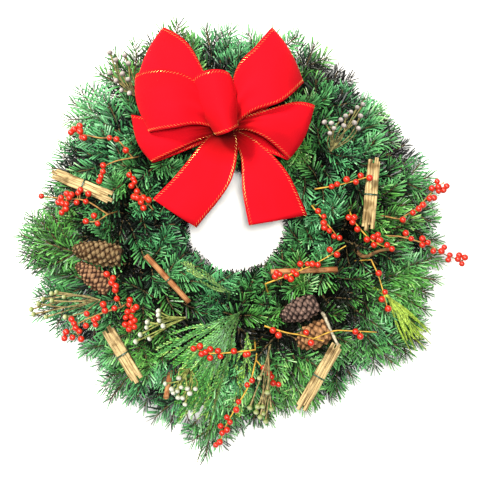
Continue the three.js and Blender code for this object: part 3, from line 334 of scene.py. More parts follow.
def leg_to(base, turn=0, depth=0):
    """The hidden part of a pick's stem, from the rail up to its base."""
    foot = foot_for(base.x, base.y, turn)
    share, height = (0.94, depth) if depth else (0.55, base.z * 0.62 + 6)
    knee = foot.lerp(base, share)
    knee.z = height
    return [foot, foot + Vector((0, 0, 9)), knee, base]


# ---------- meshes ----------
class Form:
    """Points, faces and flat coordinates gathered for one piece. Lengths are in millimetres."""

    def __init__(self):
        self.points, self.faces, self.flat = [], [], []

    def skin(self, rings, caps=True):
        """A closed skin over rings of equally many points. Its flat coordinates are in metres."""
        n, first = len(rings[0]), len(self.points)
        for ring in rings:
            self.points += ring
        around = [0]
        for i in range(n):
            around.append(around[-1] + (rings[0][(i + 1) % n] - rings[0][i]).length * MM)
        gone = 0
        for j in range(len(rings) - 1):
            step = (rings[j + 1][0] - rings[j][0]).length * MM
            for i in range(n):
                a, b = first + j * n + i, first + j * n + (i + 1) % n
                self.faces.append((a, b, b + n, a + n))
                self.flat.append([(around[i], gone), (around[i + 1], gone), (around[i + 1], gone + step),
                                  (around[i], gone + step)])
            gone += step
        if caps:
            for ring, start in ((rings[0], first), (rings[-1], first + (len(rings) - 1) * n)):
                order = range(n) if start != first else range(n - 1, -1, -1)
                self.faces.append(tuple(start + i for i in order))
                self.flat.append([(ring[i].x * MM, ring[i].y * MM) for i in order])

    def build(self, name, material=None, shift=SHIFT, sharp=False):
        """The piece as an object at the origin."""
        mesh = bpy.data.meshes.new(name)
        mesh.from_pydata([tuple((p + shift) * MM) for p in self.points], [], self.faces)
        if self.flat:
            layer = mesh.uv_layers.new(name="flat")
            layer.data.foreach_set("uv", [value for face in self.flat for uv in face for value in uv])
        shell = bmesh.new()
        shell.from_mesh(mesh)
        bmesh.ops.recalc_face_normals(shell, faces=shell.faces)
        shell.to_mesh(mesh)
        shell.free()
        mesh.polygons.foreach_set("use_smooth", [not sharp] * len(mesh.polygons))
        if material:
            mesh.materials.append(material)
        made = bpy.data.objects.new(name, mesh)
        bpy.context.collection.objects.link(made)
        return made


def frames_along(line):
    """Two directions across a line at each of its points, carried along it without twisting."""
    side, found = None, []
    for i, p in enumerate(line):
        forward = (line[min(i + 1, len(line) - 1)] - line[max(i - 1, 0)]).normalized()
        if side is None:
            side = Vector((0, 0, 1)) if abs(forward.z) < 0.8 else Vector((1, 0, 0))
        side = (side - forward * side.dot(forward)).normalized()
        found.append((p, side, forward.cross(side)))
    return found


def section_along(line, section):
    """Rings that carry a section, or one section for each point, along a line."""
    rings = []
    for j, (p, side, up) in enumerate(frames_along(line)):
        shape = section(j) if callable(section) else section
        rings.append([p + side * x + up * y for x, y in shape])
    return rings


def set_layer(mesh, name, kind, values):
    layer = mesh.attributes.new(name, kind, "POINT")
    key = "vector" if kind == "FLOAT_VECTOR" else "value"
    layer.data.foreach_set(key, [x for v in values for x in v] if key == "vector" else values)


def skeleton(name, lines, spots=()):
    """Lines and loose spots for a node tree to build on. A line is its points, its girths, the share
    of full length that leaves have along it, its shade (one, or one a point) and, where it has them,
    the ways it faces. A spot is its place, the way it faces, what lies across it, and its size."""
    points, edges, girth, full, shade, way, across, large = [], [], [], [], [], [], [], []
    for line, girths, fullness, tone, *facings in lines:
        first = len(points)
        points += [tuple((p + SHIFT) * MM) for p in line]
        edges += [(first + i, first + i + 1) for i in range(len(line) - 1)]
        girth += [g * MM for g in girths]
        full += fullness
        shade += tone if isinstance(tone, list) else [tone] * len(line)
        way += [tuple(facing) for facing in facings[0]] if facings else [(0, 0, 1)] * len(line)
    plain = len(points)
    for place, facing, flat, scale in spots:
        points.append(tuple((place + SHIFT) * MM))
        way.append(tuple(facing))
        across.append(tuple(flat))
        large.append(scale * MM)
    loose = len(points) - plain
    mesh = bpy.data.meshes.new(name)
    mesh.from_pydata(points, edges, [])
    set_layer(mesh, "girth", "FLOAT", girth + [0.0] * loose)
    set_layer(mesh, "full", "FLOAT", full + [0.0] * loose)
    set_layer(mesh, "shade", "FLOAT", shade + [0.0] * loose)
    set_layer(mesh, "large", "FLOAT", [0.0] * plain + large)
    set_layer(mesh, "way", "FLOAT_VECTOR", way)
    set_layer(mesh, "across", "FLOAT_VECTOR", [(1, 0, 0)] * plain + across)
    made = bpy.data.objects.new(name, mesh)
    bpy.context.collection.objects.link(made)
    return made


def discard(*pieces):
    for piece in pieces:
        mesh = piece.data
        bpy.data.objects.remove(piece)
        if mesh.users == 0:
            bpy.data.meshes.remove(mesh)


def hand_over(piece, slot, *nodes):
    """The piece rides on the wreath's one body and stands for these nodes of the CAD model."""
    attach(piece, "root")
    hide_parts(*nodes)


# ---------- nodes ----------
MATH, VECTOR, RANDOM = "ShaderNodeMath", "ShaderNodeVectorMath", "FunctionNodeRandomValue"
NAMED, STORE = "GeometryNodeInputNamedAttribute", "GeometryNodeStoreNamedAttribute"
TURN, INFO, INDEX = "FunctionNodeAxesToRotation", "GeometryNodeObjectInfo", "GeometryNodeInputIndex"
COMPARE, LOGIC = "FunctionNodeCompare", "FunctionNodeBooleanMath"
MIX, RAMP, NOISE, LAYER = "ShaderNodeMix", "ShaderNodeValToRGB", "ShaderNodeTexNoise", "ShaderNodeAttribute"
FLOAT, DIRECTION = {"data_type": "FLOAT"}, {"data_type": "FLOAT_VECTOR"}


def add(tree, kind, inputs=(), how=(), **settings):
    """A node with its settings and links. The inputs are listed in order, or named or numbered, and
    each is set to a value or linked to a socket. How is its operation, or its colour ramp's stops."""
    made = tree.nodes.new(kind)
    if isinstance(how, str):
        settings["operation"], how = how, ()
    for name, value in settings.items():
        setattr(made, name, value)
    for key, value in inputs.items() if isinstance(inputs, dict) else enumerate(inputs):
        if isinstance(value, bpy.types.Node):
            value = next(socket for socket in value.outputs if socket.enabled)
        if isinstance(value, bpy.types.NodeSocket):
            tree.links.new(value, made.inputs[key])
        else:
            made.inputs[key].default_value = value
    for i, (place, code) in enumerate(how):
        elements = made.color_ramp.elements
        element = elements[i] if i < len(elements) else elements.new(place)
        element.position = place
        element.color = linear(code) if isinstance(code, int) else tuple(code)
    return made


COMMON = (("Skeleton", "Geometry"), ("Sides", "Int"), ("Seed", "Int"), ("Bark", "Material"),
          ("Finish", "Material"))


def new_tree(name, *sockets):
    """An empty geometry tree with the inputs that all trees share, its own ones, and one mesh out."""
    tree = bpy.data.node_groups.new(name, "GeometryNodeTree")
    for label, kind in COMMON + sockets:
        tree.interface.new_socket(label, in_out="INPUT", socket_type="NodeSocket" + kind)
    tree.interface.new_socket("Mesh", in_out="OUTPUT", socket_type="NodeSocketGeometry")
    return tree, add(tree, "NodeGroupInput").outputs


def wooden(tree, given):
    """Round stems along the skeleton's lines, as thick as their girth."""
    curves = add(tree, "GeometryNodeMeshToCurve", [given["Skeleton"]])
    ring = add(tree, "GeometryNodeCurvePrimitiveCircle", {"Resolution": given["Sides"], "Radius": 1.0})
    girth = add(tree, NAMED, ["girth"], **FLOAT)
    stems = add(tree, "GeometryNodeCurveToMesh", {"Curve": curves, "Profile Curve": ring.outputs[0],
                                                  "Scale": girth, "Fill Caps": True})
    shade = add(tree, NAMED, ["shade"], **FLOAT)
    toned = add(tree, STORE, {"Geometry": stems, "Name": "tone", "Value": shade}, **FLOAT)
    rounded = add(tree, "GeometryNodeSetShadeSmooth", {"Geometry": toned, "Shade Smooth": True})
    return curves, add(tree, "GeometryNodeSetMaterial", {"Geometry": rounded, "Material": given["Bark"]})


def spaced_points(tree, curves, given):
    return add(tree, "GeometryNodeCurveToPoints", {"Curve": curves, "Length": given["Spacing"]},
               mode="LENGTH")


def directions(tree, curves, given):
    """Points along the lines, and what lies forward, beside and above each of them."""
    points = spaced_points(tree, curves, given)
    forward = points.outputs["Tangent"]
    across = add(tree, VECTOR, [forward, (0.05, 0.03, 1.0)], "CROSS_PRODUCT")
    side = add(tree, VECTOR, [across], "NORMALIZE")
    return points, forward, side, add(tree, VECTOR, [side, forward], "CROSS_PRODUCT")


def swing(tree, forward, out, angle, stray):
    """The direction that leans out from forward by an angle, with a little stray."""
    ahead = add(tree, VECTOR, {0: forward, 3: add(tree, MATH, [angle], "COSINE")}, "SCALE")
    aside = add(tree, VECTOR, {0: out, 3: add(tree, MATH, [angle], "SINE")}, "SCALE")
    straight = add(tree, VECTOR, [ahead, aside], "ADD")
    return add(tree, VECTOR, [add(tree, VECTOR, [straight, stray], "ADD")], "NORMALIZE")


def close_tree(tree, given, stems, part, points, turned, scale, chosen=True):
    """Puts a part on each chosen point, with a tone of its own and its material, and hands it out
    with the stems."""
    small = add(tree, INFO, {"Object": given[part]})
    placed = add(tree, "GeometryNodeInstanceOnPoints", {
        "Points": points, "Selection": chosen, "Instance": small.outputs["Geometry"],
        "Rotation": turned, "Scale": scale})
    own = add(tree, RANDOM, {2: -0.22, 3: 0.22, "Seed": given["Seed"]}, **FLOAT)
    tone = add(tree, MATH, [add(tree, NAMED, ["shade"], **FLOAT), own], "ADD")
    stored = add(tree, STORE, {"Geometry": placed, "Name": "tone", "Value": tone}, domain="INSTANCE",
                 **FLOAT)
    real = add(tree, "GeometryNodeRealizeInstances", {"Geometry": stored})
    leaves = add(tree, "GeometryNodeSetMaterial", {"Geometry": real, "Material": given["Finish"]})
    joined = add(tree, "GeometryNodeJoinGeometry")
    for made in (stems, leaves):
        tree.links.new(made.outputs[0], joined.inputs[0])
    add(tree, "NodeGroupOutput", [joined])
    return tree


def fruit_tree():
    """Stems along lines, with a fruit or a scale on each loose spot."""
    tree, given = new_tree("Stems with fruit", ("Fruit", "Object"))
    _, stems = wooden(tree, given)
    large = add(tree, NAMED, ["large"], **FLOAT)
    is_spot = add(tree, COMPARE, [large, 0.0], "GREATER_THAN", **FLOAT)
    spots = add(tree, "GeometryNodeMeshToPoints", {"Mesh": given["Skeleton"], "Selection": is_spot})
    turned = add(tree, TURN, [add(tree, NAMED, ["way"], **DIRECTION),
                              add(tree, NAMED, ["across"], **DIRECTION)],
                 primary_axis="Z", secondary_axis="X")
    grown = add(tree, RANDOM, {2: 0.88, 3: 1.08, "Seed": given["Seed"]}, **FLOAT)
    scale = add(tree, MATH, [large, grown], "MULTIPLY")
    return close_tree(tree, given, stems, "Fruit", spots, turned, scale)


def brush_tree():
    """Shoots combed with needles, which stay clear of what lies on top and of the hole."""
    tree, given = new_tree("Needled shoots", ("Needle", "Object"), ("Lying on top", "Object"),
                           ("Spacing", "Float"), ("Length", "Float"), ("Hole radius", "Float"))
    curves, stems = wooden(tree, given)
    points, forward, side, up = directions(tree, curves, given)
    # needles part to the two sides of the shoot, with fewer of them over its back
    turn = add(tree, MATH, [add(tree, INDEX), GOLDEN], "MULTIPLY")
    share = add(tree, MATH, [add(tree, MATH, [turn], "FRACT"), 2.0, -1.0], "MULTIPLY_ADD")
    parted = add(tree, MATH, [add(tree, MATH, [share], "ABSOLUTE"), 0.6], "POWER")
    wide = add(tree, MATH, [parted, 1.78], "MULTIPLY")
    angle = add(tree, MATH, [add(tree, MATH, [share], "SIGN"), wide], "MULTIPLY")
    flat = add(tree, MATH, [angle], "SINE")
    beside = add(tree, VECTOR, {0: side, 3: flat}, "SCALE")
    above = add(tree, VECTOR, {0: up, 3: add(tree, MATH, [angle], "COSINE")}, "SCALE")
    out = add(tree, VECTOR, [beside, above], "ADD")
    # they close up and grow shorter where the shoot is less full
    full = add(tree, NAMED, ["full"], **FLOAT)
    opened = add(tree, MATH, [add(tree, MATH, [flat], "ABSOLUTE"), 0.42, 0.56], "MULTIPLY_ADD")
    closing = add(tree, MATH, [full, 0.65, 0.35], "MULTIPLY_ADD")
    lean = add(tree, MATH, [opened, closing], "MULTIPLY")
    stray = add(tree, RANDOM, {0: (-0.045,) * 3, 1: (0.045,) * 3, "Seed": given["Seed"]}, **DIRECTION)
    way = swing(tree, forward, out, lean, stray)
    grown = add(tree, RANDOM, {2: 0.84, 3: 1.08, "Seed": given["Seed"]}, **FLOAT)
    own = add(tree, MATH, [grown, given["Length"]], "MULTIPLY")
    length = add(tree, MATH, [own, add(tree, MATH, [full, 0.35, 0.65], "MULTIPLY_ADD")], "MULTIPLY")
    # a needle is left out where its middle or its tip would be under something that lies on top
    root = add(tree, "GeometryNodeInputPosition")
    top = add(tree, INFO, {"Object": given["Lying on top"]})
    hidden = []
    for part in (0.55, 1.0):
        gone = add(tree, VECTOR, {0: way, 3: add(tree, MATH, [length, part], "MULTIPLY")}, "SCALE")
        reach = add(tree, VECTOR, [root, gone], "ADD")
        hidden.append(add(tree, "GeometryNodeRaycast", {
            "Target Geometry": top.outputs["Geometry"], "Source Position": reach,
            "Ray Direction": (0, 0, -1), "Ray Length": 0.05}))
    # or where its tip would be over the hole or touch the table
    middle = (Vector((*HOLE, 0)) + SHIFT) * MM
    off = add(tree, VECTOR, [reach, middle], "SUBTRACT")
    level = add(tree, VECTOR, [off, (1, 1, 0)], "MULTIPLY")
    away = add(tree, VECTOR, [level], "LENGTH").outputs["Value"]
    height = add(tree, "ShaderNodeSeparateXYZ", [reach]).outputs["Z"]
    for number, limit in ((away, given["Hole radius"]), (height, FLOOR * MM)):
        hidden.append(add(tree, COMPARE, [number, limit], "LESS_THAN", **FLOAT))
    gone = hidden[0]
    for other in hidden[1:]:
        gone = add(tree, LOGIC, [gone, other], "OR")
    turned = add(tree, TURN, [way, forward], primary_axis="Z", secondary_axis="X")
    return close_tree(tree, given, stems, "Needle", points, turned, length,
                      add(tree, LOGIC, [gone], "NOT"))


def spray_tree():
    """Ribs with flat fronds on both sides in turn."""
    tree, given = new_tree("Flat sprays", ("Frond", "Object"), ("Spacing", "Float"),
                           ("Length", "Float"), ("Angle", "Float"))
    curves, stems = wooden(tree, given)
    points, forward, side, up = directions(tree, curves, given)
    parity = add(tree, MATH, [add(tree, INDEX), 2.0], "MODULO")
    sign = add(tree, MATH, [parity, 2.0, -1.0], "MULTIPLY_ADD")
    out = add(tree, VECTOR, {0: side, 3: sign}, "SCALE")
    opened = add(tree, RANDOM, {2: 0.75, 3: 1.25, "Seed": given["Seed"]}, **FLOAT)
    angle = add(tree, MATH, [given["Angle"], opened], "MULTIPLY")
    stray = add(tree, RANDOM, {0: (-0.07, -0.07, -0.12), 1: (0.07, 0.07, 0.12), "Seed": given["Seed"]},
                **DIRECTION)
    way = swing(tree, forward, out, angle, stray)
    flat = add(tree, VECTOR, [way, up], "CROSS_PRODUCT")
    turned = add(tree, TURN, [way, flat], primary_axis="Z", secondary_axis="X")
    full = add(tree, NAMED, ["full"], **FLOAT)
    length = add(tree, MATH, [given["Length"], full], "MULTIPLY")
    bearing = add(tree, COMPARE, [full, 0.05], "GREATER_THAN", **FLOAT)
    return close_tree(tree, given, stems, "Frond", points, turned, length, bearing)


def stitch_tree():
    """A fine cord along each line, crossed by slanting stitches of metallic thread."""
    tree, given = new_tree("Stitched edges", ("Stitch", "Object"), ("Spacing", "Float"),
                           ("Length", "Float"))
    curves, cords = wooden(tree, given)
    points = spaced_points(tree, curves, given)
    facing = add(tree, NAMED, ["way"], **DIRECTION)
    turned = add(tree, TURN, [points.outputs["Tangent"], facing], primary_axis="Z", secondary_axis="Y")
    return close_tree(tree, given, cords, "Stitch", points, turned, given["Length"])


SPARE_LAYERS = ("girth", "full", "shade", "large", "way", "across")


def grow(name, lines, spots, tree, **values):
    """Runs a node tree on a skeleton and keeps what it makes as the piece's own mesh."""
    piece = skeleton(name, lines, spots)
    modifier = piece.modifiers.new(tree.name, "NODES")
    modifier.node_group = tree
    values.setdefault("Seed", 1)
    for item in tree.interface.items_tree:
        label = item.name.replace(" ", "_")
        if item.item_type == "SOCKET" and item.in_out == "INPUT" and label in values:
            modifier[item.identifier] = values[label]
    bpy.context.view_layer.update()
    graph = bpy.context.evaluated_depsgraph_get()
    mesh = bpy.data.meshes.new_from_object(piece.evaluated_get(graph), preserve_all_data_layers=True,
                                           depsgraph=graph)
    piece.modifiers.clear()
    lines_alone = piece.data
    piece.data = mesh
    bpy.data.meshes.remove(lines_alone)
    mesh.name = name
    for layer in SPARE_LAYERS:
        if layer in mesh.attributes:
            mesh.attributes.remove(mesh.attributes[layer])
    if not mesh.polygons:
        raise RuntimeError(f"{name} came out empty")
    return piece


# ---------- materials ----------
def new_finish(name, code, roughness, **shader_values):
    """A material of one colour, with its shader's own values set. Returns it, its tree and shader."""
    material = bpy.data.materials.new(name)
    material.use_nodes = True
    tree = material.node_tree
    shader = tree.nodes["Principled BSDF"]
    shader.inputs["Base Color"].default_value = linear(code) if isinstance(code, int) else tuple(code)
    shader.inputs["Roughness"].default_value = roughness
    for key, value in shader_values.items():
        shader.inputs[key.replace("_", " ").title().replace("Ior", "IOR")].default_value = value
    return material, tree, shader


def finish_with(tree, shader, base, veils=(), height=None, depth=0.0, strength=1.0):
    """Gives the shader its base colour under veils that darken it, each with its share, and a bump
    from a height where there is one."""
    shown = base.outputs[0]
    for veil, share in veils:
        shown = add(tree, MIX, {"Factor": share, 6: shown, 7: veil}, data_type="RGBA",
                    blend_type="MULTIPLY").outputs[2]
    tree.links.new(shown, shader.inputs["Base Color"])
    if height is not None:
        raised = add(tree, "ShaderNodeBump", {"Height": height, "Distance": depth, "Strength": strength})
        tree.links.new(raised.outputs[0], shader.inputs["Normal"])


def clouds(tree, period, detail=3.0, stretch=(1, 1, 1), source="Object"):
    """Cloudy variation whose clouds are about one period across, in metres."""
    place = add(tree, "ShaderNodeTexCoord").outputs[source]
    spaced = add(tree, "ShaderNodeMapping", {"Vector": place, "Scale": stretch})
    return add(tree, NOISE, {"Vector": spaced, "Scale": 1 / period, "Detail": detail})


def leaf_finish(name, stops, roughness, shadow=0x36452F, patches=0xFFFFFF):
    """Leaf wax over green: each leaf has its own tone, which on the fir also carries painted shade, and each
    leaf is darker at its root, which is painted shade; the greenery turns olive in patches about as wide as
    a hand."""
    material, tree, shader = new_finish(name, stops[0][1], roughness, specular_ior_level=0.4)
    tone = add(tree, LAYER, attribute_name="tone")
    green = add(tree, RAMP, [tone.outputs["Fac"]], stops)
    place = add(tree, LAYER, attribute_name="along")
    # painted shade: the shadow colour darkens each leaf towards its root
    depth = add(tree, RAMP, [place.outputs["Fac"]], [(0.16, shadow), (0.78, 0xFFFFFF)])
    turned = add(tree, RAMP, [clouds(tree, 0.09, 2.0)], [(0.4, 0xFFFFFF), (0.62, patches)])
    finish_with(tree, shader, green, [(turned, 1.0), (depth, 1.0)])
    return material


def bark_finish(name, dark, light, period=0.004, roughness=0.85):
    """Young bark: a matt skin with darker clouds and small swellings. The clouds are as wide as the
    lenticels on a twig."""
    material, tree, shader = new_finish(name, light, roughness, specular_ior_level=0.25)
    cloud = clouds(tree, period)
    skin = add(tree, RAMP, [cloud], [(0.35, dark), (0.62, light)])
    finish_with(tree, shader, skin, (), cloud, 0.0006)
    return material


def berry_finish(settings):
    """Ripe winterberry: a thin satin skin, more orange where it is less ripe, with a small dark
    blossom end."""
    material, tree, shader = new_finish("winterberry_skin", settings.red, 0.34, coat_weight=0.25,
                                        coat_roughness=0.2, specular_ior_level=0.4,
                                        subsurface_weight=0.08)
    shader.inputs["Subsurface Radius"].default_value = (0.002, 0.0006, 0.0004)
    tone = add(tree, LAYER, attribute_name="tone")
    skin = add(tree, RAMP, [tone.outputs["Fac"]], [
        (0.15, 0xB42410), (0.5, settings.red), (0.85, 0xE06C48)])
    place = add(tree, LAYER, attribute_name="along")
    end = add(tree, RAMP, [place.outputs["Fac"]], [(0.94, 0xFFFFFF), (0.99, 0x4A2014)])
    finish_with(tree, shader, skin, [(end, 1.0)])
    return material


def bead_finish(name, low, high):
    """Dry bloom of a brunia head: matt, finely pitted, paler on top and darker towards its underside, which
    is partly its own colour and partly painted shade.
    """
    material, tree, shader = new_finish(name, high, 0.75, specular_ior_level=0.3)
    # the real pits are a few tenths of a millimetre wide, and are drawn coarser so that they show
    pits = clouds(tree, 0.0014, 2.0)
    place = add(tree, LAYER, attribute_name="along")
    # partly painted shade: the head is darker towards its underside, going from the low colour to the high
    # one at its top
    skin = add(tree, RAMP, [place.outputs["Fac"]], [(0.3, low), (0.9, high)])
    pitted = add(tree, RAMP, [pits], [(0.3, 0x84846E), (0.7, 0xFFFFFF)])
    finish_with(tree, shader, skin, [(pitted, 0.7)], pits, 0.0008)
    return material


def cone_finish(name, dark, light):
    """Dry cone scale: woody, darker towards its root deep in the cone, which is partly painted shade between
    the scales, and pale at the worn boss, no two quite alike.
    """
    material, tree, shader = new_finish(name, light, 0.8, specular_ior_level=0.25)
    # the grain is drawn coarser than it is, so that it shows
    grain = clouds(tree, 0.0025)
    place = add(tree, LAYER, attribute_name="along")
    tone = add(tree, LAYER, attribute_name="tone")
    # partly painted shade: each scale darkens towards its root between the scales, and is pale at its worn
    # boss
    worn = add(tree, MATH, [tone.outputs["Fac"], 0.45, place.outputs["Fac"]], "MULTIPLY_ADD")
    wood = add(tree, RAMP, [worn], [(0.5, dark), (1.0, light)])
    streaks = add(tree, RAMP, [grain], [(0.3, 0x7A6858), (0.7, 0xFFFFFF)])
    finish_with(tree, shader, wood, [(streaks, 0.6)], grain, 0.0005)
    return material


def fibre_finish(name, pale, dark, period, patch, roughness=0.8):
    """Wood or bark with its fibres along the stick, and patches where the skin was torn off."""
    material, tree, shader = new_finish(name, pale, roughness, specular_ior_level=0.25)
    # single fibres are too fine to show, so bundles of them are drawn, one period wide
    fibres = clouds(tree, period, 5.0, (1, 0.05, 1), "UV")
    streaks = add(tree, RAMP, [fibres], [(0.36, dark), (0.56, pale)])
    torn = add(tree, RAMP, [clouds(tree, 0.014, 3.0)], [(0.38, patch), (0.52, 0xFFFFFF)])
    finish_with(tree, shader, streaks, [(torn, 0.75)], fibres, 0.0009)
    return material


KNOT_SHADE_REACH = 0.1                 # metres from the knot over which the painted shade fades


def velvet_finish(settings):
    """Polyester velvet: a short dense pile that is pale where it turns away and crushed in patches, with
    painted shade near the knot.
    """
    material, tree, shader = new_finish("polyester_velvet", settings.velvet, 0.9, specular_ior_level=0.1,
                                        sheen_weight=0.2, sheen_roughness=0.4)
    shader.inputs["Sheen Tint"].default_value = linear(0xFF3C38)
    crushed = clouds(tree, 0.045, 2.0, (1, 0.5, 1), "UV")
    # the tufts of a real pile are too fine to show, and are drawn about ten times as coarse
    pile = clouds(tree, 0.0016, 2.0, (1, 1, 1), "UV")
    red = tuple(settings.velvet)
    deep = tuple(c * 0.62 for c in red[:3]) + (1.0,)
    soft = add(tree, RAMP, [crushed], [(0.3, deep), (0.6, red)])
    # painted shade: the velvet is painted dark near the knot, where the ribbon is drawn in under it
    place = add(tree, "ShaderNodeTexCoord").outputs["Object"]
    from_knot = add(tree, VECTOR, [place, (Vector(KNOT) + SHIFT) * MM], "DISTANCE")
    away = add(tree, MATH, [from_knot.outputs["Value"], 1 / KNOT_SHADE_REACH], "MULTIPLY")
    knot_shade = add(tree, RAMP, [away], [(0.14, 0x5C1818), (0.3, 0xC89090), (0.5, 0xFFFFFF)])
    finish_with(tree, shader, soft, [(knot_shade, 1.0)], pile, 0.0003, 0.6)
    return material


def thread_finish(name, settings, shade):
    """Metallised gold thread: each stitch has its own painted brightness, from painted shade to painted
    highlight, as if it caught the light in its own way.
    """
    material, tree, shader = new_finish(name, settings.gold, 0.36, metallic=0.7)
    tone = add(tree, LAYER, attribute_name="tone")
    # painted highlight: bright is the gold lightened for some stitches, and shade is the painted shade of
    # others
    bright = tuple(min(1.0, c * 1.25) for c in tuple(settings.gold)[:3]) + (1.0,)
    finish_with(tree, shader, add(tree, RAMP, [tone.outputs["Fac"]], [
        (0.0, shade), (0.5, settings.gold), (1.0, bright)]))
    return material


def wire_finish(name, code):
    """Enamelled steel wire: a glossy paint with thin worn clouds."""
    material, tree, shader = new_finish(name, code, 0.38, coat_weight=0.3, coat_roughness=0.2)
    worn = clouds(tree, 0.006)
    rough = add(tree, "ShaderNodeMapRange", {"Value": worn, "From Min": 0.3, "From Max": 0.7,
                                             "To Min": 0.3, "To Max": 0.55})
    tree.links.new(rough.outputs[0], shader.inputs["Roughness"])
    paint = linear(code)
    thin = tuple(min(1.0, c * 1.7 + 0.01) for c in paint[:3]) + (1.0,)
    finish_with(tree, shader, add(tree, RAMP, [worn], [(0.45, paint), (0.7, thin)]))
    return material


# ---------- small parts that repeat ----------
def unit_part(name, points, faces, values, rounded=False):
    """A part of unit length, with how far along it each point is. It is never shown itself."""
    form = Form()
    form.points = [Vector(p) / MM for p in points]
    form.faces = faces
    made = form.build(name, shift=Vector((0, 0, 0)), sharp=not rounded)
    set_layer(made.data, "along", "FLOAT", values)
    made.hide_render = True
    return made


LEAFLET = ((0, 1, 2), (0, 2, 3), (0, 3, 1), (4, 2, 1), (4, 3, 2), (4, 1, 3))


def needle_form():
    """A flat fir needle one unit long: parallel sides from a narrow root, a keel, and a blunt tip."""
    points = [(0, 0, 0), (-0.088, 0, 0.3), (0.016, 0, 0.3), (-0.036, 0.034, 0.3),
              (-0.05, 0, 0.97), (0.038, 0, 0.97), (-0.006, 0.024, 1.0)]
    faces = [(0, 2, 1), (0, 3, 2), (0, 1, 3), (1, 2, 5, 4), (2, 3, 6, 5), (3, 1, 4, 6), (4, 5, 6)]
    return unit_part("needle", points, faces, [0.0] + [0.4] * 3 + [1.0] * 3)


def frond_form(name, opening, half):
    """A flat frond one unit long: a thin spine with a leaflet that lies along it on each side."""
    points, faces, values = [], [], []

    def leaflet(start, end, wide, rise):
        start, end = Vector(start), Vector(end)
        side = (end - start).cross(Vector((0, 1, 0))).normalized()
        middle = start.lerp(end, 0.45)
        faces.extend(tuple(len(points) + i for i in face) for face in LEAFLET)
        points.extend([start, middle - side * wide, middle + side * wide,
                       middle + Vector((0, rise, 0)), end])
        values.extend(min(1.0, max(0.0, p.z)) for p in points[-5:])

    leaflet((0, 0, 0), (0, 0, 1), half, half)
    for sign, z in ((-1, 0.08), (1, 0.43)):
        long = 0.6 * (1 - 0.5 * z)
        leaflet((0, 0, z), (sign * long * sin(opening), 0.01, z + long * cos(opening)),
                half * 0.85, half * 0.7)
    return unit_part(name, points, faces, values)


def ball_form(name, sides, rows, pinch=0.0, flat=1.0):
    """A ball one unit across its radius. Its top is drawn in, and is where the blossom was."""
    points, faces, values = [(0, 0, -1)], [], [0.0]
    for j in range(1, rows):
        t = pi * j / rows
        for i in range(sides):
            a = 2 * pi * i / sides
            points.append((sin(t) * cos(a), sin(t) * sin(a), -cos(t) * (flat if j > rows / 2 else 1)))
            values.append(j / rows)
    points.append((0, 0, flat - pinch))
    values.append(1.0)
    last = len(points) - 1
    for i in range(sides):
        k = (i + 1) % sides
        faces.append((0, 1 + k, 1 + i))
        for j in range(rows - 2):
            a, b = 1 + j * sides, 1 + (j + 1) * sides
            faces.append((a + i, a + k, b + k, b + i))
        top = 1 + (rows - 2) * sides
        faces.append((top + i, top + k, last))
    return unit_part(name, points, faces, values, True)


def scale_form():
    """A cone's scale one unit wide: a wedge that ends in a diamond boss with a raised spine."""
    rim = [(0.5, 0, 0), (0.3, 0.24, 0.06), (0, 0.4, 0.1), (-0.3, 0.24, 0.06), (-0.5, 0, 0),
           (-0.3, -0.2, 0), (0, -0.3, 0.02), (0.3, -0.2, 0)]
    inner = [(x * 0.5, y * 0.5 + 0.02, z + 0.16) for x, y, z in rim]
    points = [(0, 0, -0.9), *rim, *inner, (0, 0.04, 0.34)]
    faces = []
    for i in range(8):
        k = (i + 1) % 8
        faces += [(0, 1 + k, 1 + i), (1 + i, 1 + k, 9 + k, 9 + i), (9 + i, 9 + k, 17)]
    return unit_part("scale", points, faces, [0.0] + [0.55] * 8 + [0.85] * 8 + [1.0])


def stitch_form():
    """A slanting bar of thread, one unit long, that shows on both faces of the ribbon."""
    form = Form()
    bar = [(-0.15, -0.26), (0.15, -0.26), (0.15, 0.26), (-0.15, 0.26)]
    form.skin([[Vector((x * 0.5 + end * 0.34, y, x + end * 0.42)) for x, y in bar] for end in (-1, 1)])
    return unit_part("stitch", form.points, form.faces, [0.5] * len(form.points))


def blank_form():
    """Stands in where a tree places no fruit."""
    return unit_part("blank", [(0, 0, 0), (1, 0, 0), (0, 1, 0)], [(0, 1, 2)], [0.0] * 3)


# ---------- fir ----------
FILLERS = [(122, 11, 58, 0.9), (118, -4, 60, -0.3), (178, -12, 62, -0.9), (215, 13, 44, 0.9)]
INNER = [(77, -12, 40, -0.9), (76, -4, 24, -0.5), (79, 3, 52, 0.6), (76, 11, 32, 0.9)]
# two bunches have a long shoot that stands out of the round
LONG_SHOOTS = {6: [(-192, -24, 60), (-246, -4, 64), (-286, 8, 54)],
               4: [(-128, 186, 50), (-150, 220, 52), (-166, 245, 46)]}
PAIR_EVERY = 25                     # side shoots leave a main shoot in pairs this far apart
PRESSED = 11                        # the fir under the cedar fan lies this far below its ribs
LEGS_BELOW = 58                     # under this height there is only what the needles may cover
TIP_ROOM = 14                       # a main shoot ends this far inside the outline
SIDE_ROOM = 13                      # and so does a side shoot, which is at least this long
SHORTEST = 12
SIDE_CLEAR = 71                     # side shoots keep this far from the hole's centre
# the rounded back of the foliage: where it is highest, its half width, and how much lower it is at
# the outer and the inner end of that
CROWN = {"radius": 165, "half": 92, "top": 67, "outer": 46, "inner": 24}
DEEPER = 0.034                      # how much darker the painted shade makes a shoot for a millimetre under the back
# the tone that the painted shade of the outer fringe comes near to
FRINGE_SHADE_TONE = 0.34


